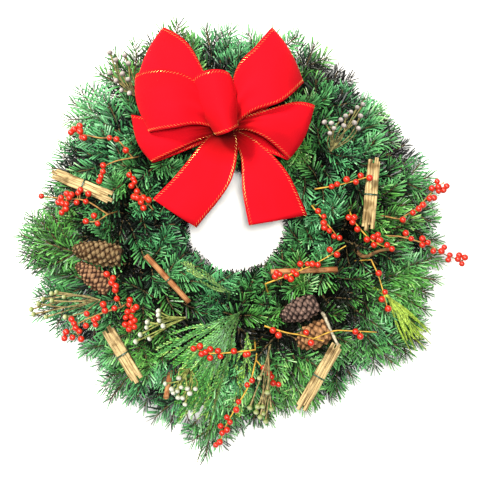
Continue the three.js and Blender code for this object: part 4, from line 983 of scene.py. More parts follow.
def shoot_plan(i):
    """Where a bunch's main shoots end: how far out, how far round, how high, and from which side."""
    mid, half = 360 / SECTORS * i, 180 / SECTORS
    plan = []
    for k, reach in enumerate(REACH):
        r, a = polar((reach - TIP_ROOM) * cos(radians(10 * k)), (reach - TIP_ROOM) * sin(radians(10 * k)))
        off = (a - mid + 540) % 360 - 180
        if abs(off) < half:
            plan.append((r, off * 0.92, 20 + 13 * (k % 3), off / half))
    outer = sum(shoot[0] for shoot in plan) / len(plan)
    return plan + [(outer * 0.84, -6.5, 58, -0.55), (outer * 0.84, 5.5, 54, 0.45),
                   (outer * 0.68, 9, 60, 0.8), (152, 7, 56, -0.9)] + INNER


def within_reach(p, margin):
    turn = degrees(atan2(p.y, p.x)) % 360 / 10
    k = int(turn)
    reach = REACH[k % 36] * (1 - turn + k) + REACH[(k + 1) % 36] * (turn - k)
    return hypot(p.x, p.y) < reach - margin and polar(p.x, p.y)[0] > SIDE_CLEAR


def fullness(count):
    """Needles are full length along a shoot and shorter towards its tip."""
    return [min(1.0, 0.1 + 3.2 * (1 - i / (count - 1))) for i in range(count)]


def in_shade(line, tone):
    """Painted shade: shoots are painted darker the deeper they lie under the rounded back of the wreath, and
    by the hole. Those of the outer fringe are painted near to one deep green, which is painted shade as
    well."""
    shades = []
    for p in line:
        off = (polar(p.x, p.y)[0] - CROWN["radius"]) / CROWN["half"]
        # painted shade: darker under the rounded back, near one deep tone at the outer fringe, and darker by
        # the hole
        deep = max(0.0, CROWN["top"] - CROWN["outer" if off > 0 else "inner"] * off * off - p.z)
        fringe = 0.7 * min(1.0, max(0.0, off - 0.7) / 0.3)
        hole_shade = 0.2 * min(1.0, max(0.0, -off - 0.65) / 0.25)
        shades.append(tone - DEEPER * deep + (FRINGE_SHADE_TONE - tone) * fringe - hole_shade)
    return shades


def shoot(line, thick, thin, shade):
    return line, taper(len(line), thick, thin), fullness(len(line)), shade


def side_shoots(main, seed, tone):
    """Pairs of shorter shoots that leave a main shoot nearly in one plane."""
    found = []
    pairs = max(2, int(path_length(main) / PAIR_EVERY))
    for n in range(pairs):
        for sign in (-1, 1):
            key = seed + 31 * n + 7 * sign
            share = 0.24 + 0.62 * (n + 0.35 * (sign > 0)) / pairs
            start, forward = along(main, share)
            flat = forward.cross(Vector((0, 0, 1))).normalized()
            reach = (24 + 38 * (1 - share)) * (0.8 + 0.4 * draw(key))
            turn = radians(48 + spread(key + 1, 9))
            way = forward * cos(turn) + flat * sign * sin(turn) + Vector((0, 0, spread(key + 2, 0.2)))
            while reach > SHORTEST and not within_reach(start + way * reach, SIDE_ROOM):
                reach *= 0.8
            if reach <= SHORTEST:
                continue
            tip = start + way * reach + forward * reach * 0.16
            tip.z = min(max(tip.z, 12), 64)
            line = smooth([start, start + way * reach * 0.5, tip], 3)
            found.append(shoot(line, 1.3, 0.7, in_shade(line, tone + spread(key + 3, 0.14))))
    return found


def fir_lines(i):
    """Every shoot of one bunch, from the butts in its clamp."""
    mid = 360 / SECTORS * i
    round_ring = Vector((-sin(radians(mid)), cos(radians(mid)), 0))
    butt = around_hole(BUTT["r"], mid, BUTT["z"])
    lines = []
    for k, (r, off, z, side) in enumerate(shoot_plan(i) + FILLERS):
        seed = 1000 * i + 50 * k
        root = butt + round_ring * (1 if side >= 0 else -1) * (9 + 13 * min(1, abs(side)))
        tip = around_hole(r, mid + off, z)
        bend = root.lerp(tip, 0.5) + Vector((spread(seed + 1, 5), spread(seed + 2, 5), 0))
        bend.z = root.z + (tip.z - root.z) * 0.66 + 4
        main = smooth([root, bend, tip], 6)
        tone = 0.56 + spread(seed + 5, 0.18)
        lines.append(shoot(main, 2.3, 1.0, in_shade(main, tone)))
        lines += side_shoots(main, seed, tone)
    if i in LONG_SHOOTS:
        main = smooth(LONG_SHOOTS[i], 6)
        lines.append(shoot(main, 1.8, 1.0, 0.5))
        lines += side_shoots(main, 1000 * i + 900, 0.5)
    for k in range(7):
        across = 0 if k == 0 else 5.6
        lift = Vector((0, 0, across * sin(pi * k / 3)))
        out = (butt - around_hole(0, 0, BUTT["z"])).normalized() * across * cos(pi * k / 3)
        ends = [butt + lift + out + round_ring * BUTT["half"] * (t + spread(k, 0.05)) for t in (-1, 1)]
        lines.append(bare(ends, [2.9, 2.9], 0.4))
    return lines


def lying_on_top(names):
    """One hidden mesh of everything that the needles keep clear of, without the legs under it."""
    whole = bmesh.new()
    for name in names:
        whole.from_mesh(bpy.data.objects[name].data)
    buried = [vert for vert in whole.verts if vert.co.z < LEGS_BELOW * MM]
    bmesh.ops.delete(whole, geom=buried, context="VERTS")
    # the fan presses down what is under it
    down = SHIFT - Vector((0, 0, PRESSED))
    mat = [[whole.verts.new((Vector(p) + down) * MM) for p in ribs] for ribs in CEDAR_FAN]
    for one, other in zip(mat, mat[1:]):
        for i in (0, 1):
            whole.faces.new((one[i], one[i + 1], other[i + 1], other[i]))
    mesh = bpy.data.meshes.new("lying_on_top")
    whole.to_mesh(mesh)
    whole.free()
    made = bpy.data.objects.new("lying_on_top", mesh)
    bpy.context.collection.objects.link(made)
    return made


class WREATH_OT_fir(bpy.types.Operator):
    """Grow the twelve fir bunches around everything that lies on them"""
    bl_idname = "wreath.grow_fir"
    bl_label = "Fir bunches"

    def execute(self, context):
        look = context.scene.wreath_greenery
        above = [name for name in TOP_PIECES if name in bpy.data.objects]
        if len(above) < len(TOP_PIECES):
            raise RuntimeError("the pieces that lie on the fir come first")
        # painted shade: the darkest stops of this ramp are reached by the deep shoots, and shadow is the
        # painted shade at each needle's root
        green = leaf_finish("waxy_fir_needle", [
            (0.0, 0x040806), (0.24, 0x10241A), (0.48, look.fir), (0.72, 0x62AE72), (1.0, 0xB4E2BA)], 0.4,
            shadow=0x0C140C, patches=0xFFF0A8)
        bark = bark_finish("fir_twig_bark", 0x1E1A10, 0x5A4A2A)
        tree, needle, top = brush_tree(), needle_form(), lying_on_top(above)
        for i in range(SECTORS):
            piece = grow(f"fir_needles_{i + 1:02d}", fir_lines(i), (), tree, Needle=needle,
                         Lying_on_top=top, Sides=5, Seed=look.seed + i, Spacing=look.spacing,
                         Length=look.needle, Hole_radius=HOLE_CLEAR * MM, Bark=bark, Finish=green)
            hand_over(piece, "fir", f"fir_bunch_{i + 1:02d}")
        discard(needle, top)
        return {"FINISHED"}


# ---------- flat sprays ----------
def rib(points, girth, tone, shape, steps=8):
    """One rib with the share of full length that its fronds have along it."""
    line = smooth(points, steps)
    last = len(line) - 1
    return line, taper(len(line), girth, girth * 0.4), [shape(i / last) for i in range(len(line))], tone


def strands(spine, every, reach, opening, seed, tone, first=0.05):
    """Fine strands that leave a rib on both sides in turn and soon run beside it."""
    found = []
    count = int(path_length(spine) * (1 - first) / every)
    for n in range(count):
        key = seed + 5 * n
        share = first + (0.98 - first) * n / count
        start, forward = along(spine, share)
        side = forward.cross(Vector((0, 0, 1))).normalized() * (1 if n % 2 else -1)
        length = reach * (0.7 + 0.5 * draw(key)) * (1.15 - 0.6 * share)
        angle = opening * (0.75 + 0.5 * draw(key + 1))
        way = forward * cos(angle) + side * sin(angle)
        tip = start + way * length * 0.6 + forward * length * 0.4 + Vector((0, 0, spread(key + 2, 4)))
        own = tone + spread(key + 3, 0.16) + 0.3 * share
        found.append(rib([start, start + way * length * 0.45, tip], 0.6, own, lambda s: 1 - 0.35 * s, 4))
    return found


def fan_lines():
    """The fan: the ribs that carry its form, finer ones between them, and the strands of each."""
    lines = []
    between = 3
    for n in range((len(CEDAR_FAN) - 1) * between + 1):
        k, t = divmod(n, between)
        first, second = CEDAR_FAN[k], CEDAR_FAN[min(k + 1, len(CEDAR_FAN) - 1)]
        points = [Vector(a).lerp(Vector(b), t / between) for a, b in zip(first, second)]
        reach = 1.0 if t == 0 else 0.86 + 0.16 * draw(n + 60)
        points = [points[0], points[0].lerp(points[1], reach), points[0].lerp(points[2], reach)]
        points[1] += Vector((spread(n + 70, 4), spread(n + 75, 4), spread(n + 80, 5)))
        tone = 0.4 + spread(n + 90, 0.16)
        lines.append(rib(points, 1.0, tone, lambda s: 0.35 + 0.6 * min(1, 3 * s)))
        lines += strands(lines[-1][0], 17, 44, 0.26, 100 * n, tone, 0.22)
    lines.append(rib(CEDAR_TAIL, 1.1, -0.2, lambda s: 0.6))
    return lines


class WREATH_OT_cedar(bpy.types.Operator):
    """Grow the cedar fan, the lime spray and the olive twig by the hole"""
    bl_idname = "wreath.grow_cedar"
    bl_label = "Cedar sprays"

    def execute(self, context):
        look = context.scene.wreath_greenery
        # painted shade: 0x3A5A30 darkens the fan's leaves towards their roots, and the lime and olive
        # finishes do the same with their default shadow colour
        finishes = {
            "bright": leaf_finish("cedar_scale_leaf", [
                (0.02, 0x6E7428), (0.1, 0x1E5A22), (0.42, look.cedar), (0.7, 0x72BE50), (0.95, 0xC4E470)],
                0.45, 0x3A5A30),
            "lime": leaf_finish("lime_cypress_leaf", [
                (0.0, 0x4E8A2A), (0.5, 0x8CC440), (1.0, 0xCBE870)], 0.5),
            "olive": leaf_finish("olive_cypress_leaf", [
                (0.0, 0x2A4620), (0.5, 0x648E30), (1.0, 0xA6C24C)], 0.55)}
        green_bark = bark_finish("cedar_strand_bark", 0x22401C, 0x4A7434)
        tree, frond = spray_tree(), frond_form("frond", 0.3, 0.085)
        lime = rib(CEDAR_LIME, 1.0, 0.45, lambda s: 0.9)
        twig = rib(CEDAR_TWIG, 0.9, 0.45, lambda s: 0.8)
        for name, node, slot, finish, lines, girth, turn in (
                ("cedar_fan_leaves", "cedar_fan", "cedar_bright", "bright", fan_lines(), 2.2, 0),
                ("cedar_lime_leaves", "cedar_lime_spray", "cedar_lime", "lime",
                 [lime] + strands(lime[0], 11, 28, 0.42, 3000, 0.4), 2.0, -3),
                ("cedar_twig_leaves", "cedar_hole_twig", "cedar_olive", "olive",
                 [twig] + strands(twig[0], 16, 26, 0.36, 3100, 0.4), 1.8, 0)):
            leg = stem_line(leg_to(lines[0][0][0], turn), girth, girth * 0.8)
            piece = grow(name, lines + [leg], (), tree, Frond=frond, Sides=5, Seed=look.seed,
                         Spacing=0.0024, Length=0.0092, Angle=0.2, Bark=green_bark,
                         Finish=finishes[finish])
            hand_over(piece, slot, node)
        discard(frond)
        return {"FINISHED"}


class WREATH_OT_tuft(bpy.types.Operator):
    """Grow the tuft of lime strands"""
    bl_idname = "wreath.grow_tuft"
    bl_label = "Lime tuft"

    def execute(self, context):
        look = context.scene.wreath_greenery
        # painted shade: 0x566626 darkens each leaf towards its root
        green = leaf_finish("lime_strand_leaf", [
            (0.0, 0x46601C), (0.45, look.lime), (1.0, 0xB4D850)], 0.5, 0x566626)
        bark = bark_finish("tuft_bark", 0x5C7024, 0x9CB544)
        root = Vector(TUFT["base"])
        lines = [stem_line(leg_to(root), 2.0, 2.4)]
        tips = [Vector(tip) for tip in TUFT["tips"]]
        for i, tip in enumerate(tips):
            mate = tips[(i + 2) % len(tips)]
            for n, share in enumerate((0.0, 0.3)):
                k = 900 + 10 * i + n
                end = root + (tip.lerp(mate, share) - root) * (1 - 0.35 * share * draw(k + 3))
                bow = root.lerp(end, 0.5) + Vector((spread(k, 6), spread(k + 1, 6), 5))
                leafy = 0.72 if n == 0 else 0.9
                lines.append(rib([root, bow, end], 1.5, 0.42 + spread(k + 2, 0.3),
                                 lambda s, leafy=leafy: 1.0 if s < leafy else 0.0))
        tree, frond = spray_tree(), frond_form("strand_leaf", 0.2, 0.1)
        piece = grow("lime_tuft_strands", lines, (), tree, Frond=frond, Sides=5, Seed=look.seed,
                     Spacing=0.0019, Length=0.0075, Angle=0.13, Bark=bark, Finish=green)
        hand_over(piece, "tuft_lime", "lime_tuft")
        discard(frond)
        return {"FINISHED"}


# ---------- cones ----------
def cone_spots(cone):
    """Scales in a rising spiral, as they stand on a real cone, and the core that they stand on."""
    base, tip = Vector((*cone["base"], cone["z"])), Vector((*cone["tip"], cone["z"]))
    axis = (tip - base).normalized()
    length = (tip - base).length
    across = Vector((-axis.y, axis.x, 0))
    up = Vector((0, 0, 1))
    count = cone["scales"]
    wide = 5.6 / sqrt(count)

    def girth(t):
        return cone["radius"] * sqrt(max(0.03, 1 - ((t - 0.38) / 0.66) ** 2))

    spots = []
    for n in range(count):
        t = 0.015 + 0.975 * n / (count - 1)
        angle = 2 * pi * GOLDEN * n + spread(n, 0.12)
        out = across * cos(angle) + up * sin(angle)
        tilt = radians(-20 + 95 * t + spread(n + 300, 22))
        facing = out * cos(tilt) + axis * sin(tilt)
        place = base + axis * t * length + out * (girth(t) - 2.4 + spread(n + 600, 1.1))
        spots.append((place, facing, axis.cross(out), girth(t) * wide + 0.8))
    shares = (0.0, 0.1, 0.25, 0.45, 0.65, 0.85, 0.97)
    core = [base + axis * length * t for t in shares]
    return spots, bare(core, [girth(t) * 0.78 for t in shares], 0.2)


class WREATH_OT_cones(bpy.types.Operator):
    """Build the four pine cones from their scales"""
    bl_idname = "wreath.build_cones"
    bl_label = "Pine cones"

    def execute(self, context):
        tree, scale = fruit_tree(), scale_form()
        for i, cone in enumerate(CONES):
            spots, core = cone_spots(cone)
            foot = foot_for(*cone["base"])
            leg = [foot, foot + Vector((0, 0, 9)), core[0][1]]
            woody = cone_finish(f"worn_cone_scale_{i + 1}", cone["dark"], cone["light"])
            # painted shade: the core deep in the cone is painted darker than the scales' darkest colour
            inner = bark_finish(f"cone_core_{i + 1}", 0x1C120D, cone["dark"])
            piece = grow(f"cone_scales_{i + 1}", [core, stem_line(leg, 1.5, 1.8)], spots, tree,
                         Fruit=scale, Sides=10, Seed=i, Bark=inner, Finish=woody)
            hand_over(piece, cone["slot"], f"pine_cone_{i + 1}")
        discard(scale)
        return {"FINISHED"}


# ---------- sticks, quills and their ties ----------
def scroll_section(outer, bark, turns, steps):
    """A strip of bark rolled up on itself, as a closed outline."""
    outline = []
    for inset, order in ((0, range(steps + 1)), (bark, range(steps, -1, -1))):
        for i in order:
            a = turns * 2 * pi * i / steps
            r = outer - 1.6 * i / steps - inset
            outline.append((r * cos(a), r * sin(a)))
    return outline


class WREATH_OT_quills(bpy.types.Operator):
    """Roll the three cinnamon quills"""
    bl_idname = "wreath.roll_quills"
    bl_label = "Cinnamon quills"

    def execute(self, context):
        bark = fibre_finish("rolled_cinnamon_bark", context.scene.wreath_wood.cinnamon, 0x7A5232, 0.0012,
                            0xC09070, 0.7)
        outline = scroll_section(4.2, 0.9, 1.3, 26)
        for i, quill in enumerate(QUILLS):
            a, b = (Vector(end) for end in quill["ends"])
            line = [a.lerp(b, j / 8) + Vector((0, 0, 0.5 * sin(j * 1.7 + i))) for j in range(9)]
            form = Form()
            form.skin(section_along(line, lambda j, k=i: [
                (x * (1 + spread(40 * k + j, 0.04)), y * (1 + spread(90 * k + j, 0.04)))
                for x, y in outline]))
            piece = form.build(f"cinnamon_bark_{i + 1}", bark)
            hand_over(piece, "cinnamon", f"cinnamon_quill_{i + 1}")
        return {"FINISHED"}


def split_section(key, j):
    """The seven-sided outline of a split stick, which changes a little from one ring to the next."""
    outline = []
    for m in range(7):
        r = 2.75 + spread(key + 11 * m, 0.55) + spread(key + 7 * j + m, 0.12)
        outline.append((r * cos(2 * pi * m / 7), r * sin(2 * pi * m / 7)))
    return outline


# where the four sticks of a bundle lie: across it, over it, and along it
STICK_PLACES = [(-5.2, -0.6, 0), (-1.6, 0.8, 5), (2.0, -0.4, -3), (5.4, 0.7, 2)]


class WREATH_OT_sticks(bpy.types.Operator):
    """Split the sticks and lay them in their four bundles"""
    bl_idname = "wreath.split_sticks"
    bl_label = "Split sticks"

    def execute(self, context):
        wood = fibre_finish("split_hazel", context.scene.wreath_wood.split, 0x6A5232, 0.0016, 0x8C7A50)
        for n, bundle in enumerate(STICKS):
            a, b = (Vector(end) for end in bundle["ends"])
            axis = (b - a).normalized()
            across = Vector((-axis.y, axis.x, 0))
            form = Form()
            for i, (side, lift, slip) in enumerate(STICK_PLACES):
                splay = spread(i + (n + 4) * 7, 1)
                p = a + across * (side + splay) + axis * slip + Vector((0, 0, lift))
                q = b + across * (side - splay) + axis * slip + Vector((0, 0, lift))
                key = 200 * n + 40 * i
                line = [p.lerp(q, j / 7) + across * spread(key + j, 0.35) for j in range(8)]
                form.skin(section_along(line, lambda j, k=key: split_section(k, j)))
            piece = form.build(f"split_wood_{n + 1}", wood, sharp=True)
            hand_over(piece, "split_wood", f"split_sticks_{n + 1}")
        return {"FINISHED"}


def tie_lines(a, b, place, turn, reach, flat):
    """A wire wound twice round a bundle, with its leg down to the rail."""
    axis = (b - a).normalized()
    across = Vector((-axis.y, axis.x, 0)).normalized()
    up = axis.cross(across).normalized()
    if up.z < 0:
        up = -up
    middle = a.lerp(b, place)
    loops = []
    for i in range(49):
        t = 4 * pi * i / 48 - pi / 2
        loops.append(middle + across * reach * cos(t) + up * reach * flat * sin(t)
                     + axis * (1.5 * i / 48 - 0.75))
    foot = foot_for(middle.x, middle.y, turn)
    under = loops[0].copy()
    knee = under.copy()
    knee.z *= 0.7
    leg = smooth([foot, foot + Vector((0, 0, 9)), knee, under], 4)
    return [stem_line(leg, 0.8, 0.8, 0.5), bare(loops, [0.75] * len(loops))]


class WREATH_OT_ties(bpy.types.Operator):
    """Wind the seven tie wires"""
    bl_idname = "wreath.wind_ties"
    bl_label = "Tie wires"

    def execute(self, context):
        paint = wire_finish("painted_florist_wire", 0x1C3A22)
        tree, blank = fruit_tree(), blank_form()
        bundles = [(*(Vector(end) for end in q["ends"]), q["place"], q["turn"], 4.5, 1.0) for q in QUILLS]
        bundles += [(*(Vector(end) for end in s["ends"]), 0.52, 0, 9.0, 0.5) for s in STICKS]
        for i, bundle in enumerate(bundles):
            piece = grow(f"tie_{i + 1}", tie_lines(*bundle), (), tree, Fruit=blank, Sides=8,
                         Bark=paint, Finish=paint)
            hand_over(piece, "tie_wire", f"tie_wire_{i + 1}")
        discard(blank)
        return {"FINISHED"}


class WREATH_OT_twigs(bpy.types.Operator):
    """Lay the grey and the brown bare twig"""
    bl_idname = "wreath.lay_twigs"
    bl_label = "Bare twigs"

    def execute(self, context):
        tree, blank = fruit_tree(), blank_form()
        for name, node, slot, twig, dark, light in (
                ("grey_twig_bark", "grey_twig", "grey_bark", GREY_TWIG, 0x6D6552, 0xB5AD95),
                ("brown_twig_bark", "brown_twig", "brown_bark", BROWN_TWIG, 0x3A2A16, 0x6E4E2C)):
            points = [Vector((x, y, twig["z"] + 2 * i)) for i, (x, y) in enumerate(twig["line"])]
            whole = leg_to(points[0], twig.get("turn", 0), twig.get("depth", 0))[:-1] + points
            line = smooth(whole, 4)
            girths = [g * (1 + spread(i + 30, 0.12)) for i, g in enumerate(
                taper(len(line), twig["radius"], twig["radius"] * 0.7))]
            bark = bark_finish(f"{slot}_of_twig", dark, light)
            piece = grow(name, [bare(line, girths)], (), tree, Fruit=blank, Sides=9, Bark=bark,
                         Finish=bark)
            hand_over(piece, slot, node)
        discard(blank)
        return {"FINISHED"}


# ---------- berries ----------
def nearest_on(line, target):
    best = None
    for a, b in zip(line, line[1:]):
        d = b - a
        t = min(max((target - a).dot(d) / d.length_squared, 0.02), 0.98)
        p = a + d * t
        if best is None or (p - target).length < (best - target).length:
            best = p
    return best


class WREATH_OT_red_berries(bpy.types.Operator):
    """Set the red berries on their fifteen twigs"""
    bl_idname = "wreath.set_red_berries"
    bl_label = "Red berry twigs"

    def execute(self, context):
        look = context.scene.wreath_berries
        skin = berry_finish(look)
        barks = [bark_finish("orange_twig_bark", 0x94702A, 0xC8A03C, 0.006, 0.6),
                 bark_finish("brown_twig_skin", 0x6A4A26, 0xA07A42, 0.006, 0.7)]
        tree, berry = fruit_tree(), ball_form("berry", 14, 10, 0.02)
        for n, twig in enumerate(RED_TWIGS):
            lines = [smooth([(x, y, twig["z"] + 3 * sin(i * 1.3)) for i, (x, y) in enumerate(stem)], 4)
                     for stem in twig["stems"]]
            lines[0] = leg_to(lines[0][0], twig.get("turn", 0))[:-1] + lines[0]
            drawn = [stem_line(line, 0.95 if i else 1.15, 0.7, 0.5) for i, line in enumerate(lines)]
            spots = []
            for i, (x, y) in enumerate(twig["berries"]):
                center = Vector((x, y, twig["z"] + 1 + 4 * draw(500 + 40 * n + i)))
                root = min((nearest_on(line, center) for line in lines), key=lambda p: (p - center).length)
                way = center - root
                if way.length < 5:
                    way = Vector((way.x, way.y, way.z + 5))
                middle = root.lerp(center, 0.5) + Vector((0, 0, 0.6))
                drawn.append(bare([root, middle, center], [0.7, 0.5, 0.5]))
                spots.append((center, way.normalized(), (1, 0, 0), look.red_size / MM / 2))
            piece = grow(f"red_berries_{n + 1:02d}", drawn, spots, tree, Fruit=berry, Sides=6, Seed=n,
                         Bark=barks[n in BROWN_STEMS], Finish=skin)
            hand_over(piece, "red_berries", f"red_berry_twig_{n + 1:02d}")
        discard(berry)
        return {"FINISHED"}


class WREATH_OT_pale_berries(bpy.types.Operator):
    """Set the pale beads on their six sprigs"""
    bl_idname = "wreath.set_pale_berries"
    bl_label = "Pale berry sprigs"

    def execute(self, context):
        look = context.scene.wreath_berries
        beads = {"lilac": bead_finish("lilac_brunia_head", 0x74706A, 0xD0C6C4),
                 "green": bead_finish("green_brunia_head", 0x76863E, 0xD6DCB0),
                 "white": bead_finish("white_brunia_head", 0x8C966C, 0xF6F6F2)}
        barks = {"lilac": bark_finish("olive_brunia_stem", 0x3E3C26, 0x7C7648),
                 "green": bark_finish("tan_brunia_stem", 0x50462A, 0x94865A),
                 "white": bark_finish("green_brunia_stem", 0x4E5420, 0x8E9650)}
        tree, bead = fruit_tree(), ball_form("bead", 12, 8, 0.0, 0.8)
        for n, sprig in enumerate(PALE_SPRIGS):
            root = Vector((*sprig["base"], sprig["z"] - 8))
            leg = leg_to(root, sprig.get("turn", 0), sprig.get("depth", 0))
            drawn, spots = [stem_line(leg, 1.6, 1.3)], []
            for i, (x, y) in enumerate(sprig["tips"]):
                key = 1500 + 40 * n + i
                tip = Vector((x, y, sprig["z"] + 6 * draw(key)))
                start = root.lerp(leg[2], 0.035 * i)
                bow = start.lerp(tip, 0.5) + Vector((spread(key + 3, 7), spread(key + 4, 7), 2))
                line = smooth([start, bow, tip], 5)
                girths = [0.78 + 0.1 * draw(key + 5 * j) + 0.75 * (j / (len(line) - 1)) ** 6
                          for j in range(len(line))]
                drawn.append(bare(line, girths))
                away = (tip - bow).normalized()
                spots.append((tip, away, (1, 0, 0), look.pale_size / MM / 2))
            piece = grow(f"pale_berries_{n + 1}", drawn, spots, tree, Fruit=bead, Sides=5, Seed=n,
                         Bark=barks[sprig["finish"]], Finish=beads[sprig["finish"]])
            hand_over(piece, "pale_berries", f"pale_berry_sprig_{n + 1}")
        discard(bead)
        return {"FINISHED"}


# ---------- bow ----------
def loop_stations(far, back, low, angle):
    """A loop leaves the waist low, folds over at its far edge and comes back high."""
    dx, dy = WAIST / 2 * cos(radians(angle)), WAIST / 2 * sin(radians(angle))
    kx, ky, kz = KNOT
    start = [(kx - dx, ky - dy, kz - 3), (kx + dx, ky + dy, kz - 3)]
    end = [(kx - dx, ky - dy, kz + 5), (kx + dx, ky + dy, kz + 5)]

    def under(t):
        return [(start[k][0] + (x - start[k][0]) * t, start[k][1] + (y - start[k][1]) * t, low)
                for k, (x, y, _) in enumerate(far)]
    return [start, under(0.45), under(0.88), far, *back, end]


def ribbon_rows(stations, steps, puff, gathers, both_ends, seed):
    """Rows of points across a strip: wired edges, a soft swell between them and folds at the waist."""
    left, right = (smooth([station[k] for station in stations], steps) for k in (0, 1))
    count, columns = len(left), 18
    rows, normals = [], []
    for i in range(count):
        before, after = max(i - 1, 0), min(i + 1, count - 1)
        forward = (left[after] + right[after] - left[before] - right[before]).normalized()
        normals.append((right[i] - left[i]).cross(forward).normalized())
    high = max(range(count), key=lambda i: left[i].z + right[i].z)
    sign = 1 if normals[high].z > 0 else -1
    for i in range(count):
        share = i / (count - 1)
        from_waist = min(share, 1 - share) if both_ends else share
        near = max(0.0, 1 - from_waist / 0.3) ** 1.4
        row = []
        for c in range(columns + 1):
            v = c / columns
            swell = puff * sin(pi * v) * (1 - near)
            fold = gathers * near * sin(2 * pi * 2.5 * v + seed)
            wave = 1.3 * sin(7 * share + 3.1 * v + seed) * sin(pi * v) ** 0.5
            row.append(left[i].lerp(right[i], v) + normals[i] * sign * (swell + fold + wave))
        rows.append(row)
    return rows


def ribbon_skin(form, rows, thick):
    """A strip of cloth with a thickness. Returns the length of its middle."""
    rings = []
    count, columns = len(rows), len(rows[0])
    for i, row in enumerate(rows):
        before, after = rows[max(i - 1, 0)], rows[min(i + 1, count - 1)]
        face, back = [], []
        for c, p in enumerate(row):
            across = row[min(c + 1, columns - 1)] - row[max(c - 1, 0)]
            out = across.cross(after[c] - before[c]).normalized() * (thick / 2)
            face.append(p + out)
            back.append(p - out)
        rings.append(face + back[::-1])
    form.skin(rings)
    return path_length([row[columns // 2] for row in rows])


def knot_rings():
    """The gathered ball of ribbon at the waist, with sixteen small folds round it."""
    rings = []
    for j in range(9):
        middle = Vector(KNOT) + Vector((0, 0, 9 * cos(pi * j / 8)))
        wide = sin(pi * (0.04 + 0.92 * j / 8))
        ring = []
        for m in range(16):
            fold = 1 + 0.06 * (m % 2)
            ring.append(middle + Vector((12 * wide * cos(2 * pi * m / 16) * fold,
                                         13 * wide * sin(2 * pi * m / 16) * fold, 0)))
        rings.append(ring)
    return rings


class WREATH_OT_bow(bpy.types.Operator):
    """Tie the velvet bow and whip its edges with gold thread"""
    bl_idname = "wreath.tie_bow"
    bl_label = "Velvet bow"

    def execute(self, context):
        look = context.scene.wreath_bow
        form, edges, length = Form(), [], 0.0
        strips = [(loop_stations(**loop), 7, 6, 4.6, True) for loop in LOOPS]
        strips.append((CENTRE, 7, 2, 0.8, True))
        strips += [(tail, 9, 2.5, 4.6, False) for tail in TAILS]
        for n, (stations, steps, puff, gathers, both) in enumerate(strips):
            rows = ribbon_rows(stations, steps, puff, gathers, both, 1.9 * n)
            length += ribbon_skin(form, rows, look.thickness / MM)
            for side, inner in ((0, 1), (-1, -2)):
                line = [row[side].lerp(row[inner], 0.8) for row in rows]
                ahead = [after - before for before, after in zip([line[0]] + line, line[1:] + [line[-1]])]
                facings = [(row[inner] - row[side]).cross(step).normalized()
                           for row, step in zip(rows, ahead)]
                edges.append((*bare(line, [look.edge / MM / 2] * len(line)), facings))
        form.skin(knot_rings())
        cloth = form.build("velvet_bow", velvet_finish(look))
        # 0xB87A2C is the painted shade of the darkest stitches
        thread = thread_finish("gold_thread", look, 0xB87A2C)
        cord = fibre_finish("red_edge_cord", 0xBE1A16, 0x86140E, 0.0012, 0xE0A060)
        stitch = stitch_form()
        trim = grow("gold_edges", edges, (), stitch_tree(), Stitch=stitch, Sides=6, Seed=3,
                    Spacing=0.0040, Length=0.0030, Bark=cord, Finish=thread)
        discard(stitch)
        hand_over(cloth, "red_velvet", "bow_ribbon")
        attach(trim, "root")
        return {"FINISHED"}


# ---------- ring ----------
class WREATH_OT_ring(bpy.types.Operator):
    """Paint the clamp ring and the bow's wire"""
    bl_idname = "wreath.paint_ring"
    bl_label = "Ring and wire"

    def execute(self, context):
        paint = wire_finish("green_enamelled_steel", 0x1E4A2C)
        for name in ("ring_frame", "bow_wire"):
            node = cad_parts.get(name)
            if node is None:
                raise RuntimeError(f"the frame has no {name}")
            for slot in node.material_slots:
                slot.material = paint
        return {"FINISHED"}


# ---------- stage ----------
TABLE_HALF = 4000
ROOM_LIGHT = 0.22
CAMERA_PLACE = (0.0047, -0.0007)    # metres
# name, place, diameter, watts and colour
LAMPS = [("overhead", (0.1, 0.1, 2.4), 0.5, 70, 0xFFFDF8),
         ("key", (-0.9, 1.0, 1.5), 0.4, 62, 0xFFF8EE)]


def soft_light(name, place, across, watts, tint):
    lamp = bpy.data.lights.new(name, "AREA")
    lamp.shape, lamp.size, lamp.energy, lamp.color = "DISK", across, watts, linear(tint)[:3]
    made = bpy.data.objects.new(name, lamp)
    made.location = place
    made.rotation_euler = (-Vector(place)).to_track_quat("-Z", "Y").to_euler()
    bpy.context.collection.objects.link(made)


class WREATH_OT_stage(bpy.types.Operator):
    """Set the pale table, the soft light and the camera"""
    bl_idname = "wreath.set_stage"
    bl_label = "Stage"

    def execute(self, context):
        look = context.scene.wreath_stage
        scene = context.scene
        form = Form()
        form.points = [Vector((x, y, 0)) * TABLE_HALF for x, y in ((-1, -1), (1, -1), (1, 1), (-1, 1))]
        form.faces = [(0, 1, 2, 3)]
        matt, _, _ = new_finish("matt_paper_table", look.floor, 0.95, specular_ior_level=0.05)
        table = form.build("table", matt, shift=Vector((0, 0, 0)))
        if table.data.polygons[0].normal.z < 0:
            table.data.flip_normals()
        world = bpy.data.worlds.new("soft_white_room")
        world.use_nodes = True
        sky = world.node_tree.nodes["Background"]
        sky.inputs["Color"].default_value = linear(0xF8FAFF)
        sky.inputs["Strength"].default_value = ROOM_LIGHT
        scene.world = world
        for lamp in LAMPS:
            soft_light(*lamp)
        scene.view_settings.view_transform = "Standard"
        lens = bpy.data.cameras.new("camera")
        lens.sensor_width = 36
        lens.lens = 68.4
        lens.clip_start = 0.05
        camera = bpy.data.objects.new("camera", lens)
        camera.location = (*CAMERA_PLACE, look.height)
        bpy.context.collection.objects.link(camera)
        scene.camera = camera
        return {"FINISHED"}


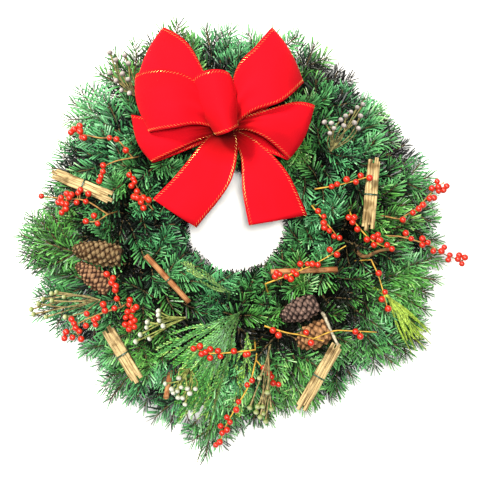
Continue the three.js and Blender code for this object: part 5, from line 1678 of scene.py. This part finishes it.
# ---------- panel ----------
class WREATH_PT_panel(bpy.types.Panel):
    """Everything that makes up the wreath, in the order in which it is made"""
    bl_label = "Evergreen wreath"
    bl_space_type = "VIEW_3D"
    bl_region_type = "UI"
    bl_category = "Wreath"

    def draw(self, context):
        for _, key, label in GROUPS:
            group = getattr(context.scene, key)
            box = self.layout.box()
            box.label(text=label)
            for name in group.__annotations__:
                box.prop(group, name)
        for step in STEPS:
            self.layout.operator(step.bl_idname)


TOP_PIECES = ([f"cone_scales_{i + 1}" for i in range(4)] + [f"cinnamon_bark_{i + 1}" for i in range(3)]
              + [f"split_wood_{i + 1}" for i in range(4)] + [f"tie_{i + 1}" for i in range(7)]
              + [f"red_berries_{i + 1:02d}" for i in range(15)] + [f"pale_berries_{i + 1}" for i in range(6)]
              + ["grey_twig_bark", "brown_twig_bark", "lime_tuft_strands", "cedar_fan", "cedar_lime_spray",
                 "cedar_hole_twig"])

GROUPS = ((GreenerySettings, "wreath_greenery", "Greenery"), (BerrySettings, "wreath_berries", "Berries"),
          (BowSettings, "wreath_bow", "Bow"), (WoodSettings, "wreath_wood", "Wood"),
          (StageSettings, "wreath_stage", "Stage"))
STEPS = (WREATH_OT_ring, WREATH_OT_cones, WREATH_OT_quills, WREATH_OT_sticks, WREATH_OT_ties,
         WREATH_OT_twigs, WREATH_OT_red_berries, WREATH_OT_pale_berries, WREATH_OT_cedar, WREATH_OT_tuft,
         WREATH_OT_bow, WREATH_OT_fir, WREATH_OT_stage)


def register():
    for group, key, _ in GROUPS:
        bpy.utils.register_class(group)
        setattr(bpy.types.Scene, key, PointerProperty(type=group))
    for kind in (*STEPS, WREATH_PT_panel):
        bpy.utils.register_class(kind)


def unregister():
    for kind in (WREATH_PT_panel, *reversed(STEPS)):
        bpy.utils.unregister_class(kind)
    for group, key, _ in reversed(GROUPS):
        delattr(bpy.types.Scene, key)
        bpy.utils.unregister_class(group)


def main():
    register()
    for step in STEPS:
        family, name = step.bl_idname.split(".")
        getattr(getattr(bpy.ops, family), name)()
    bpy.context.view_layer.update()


if __name__ == "__main__":
    main()
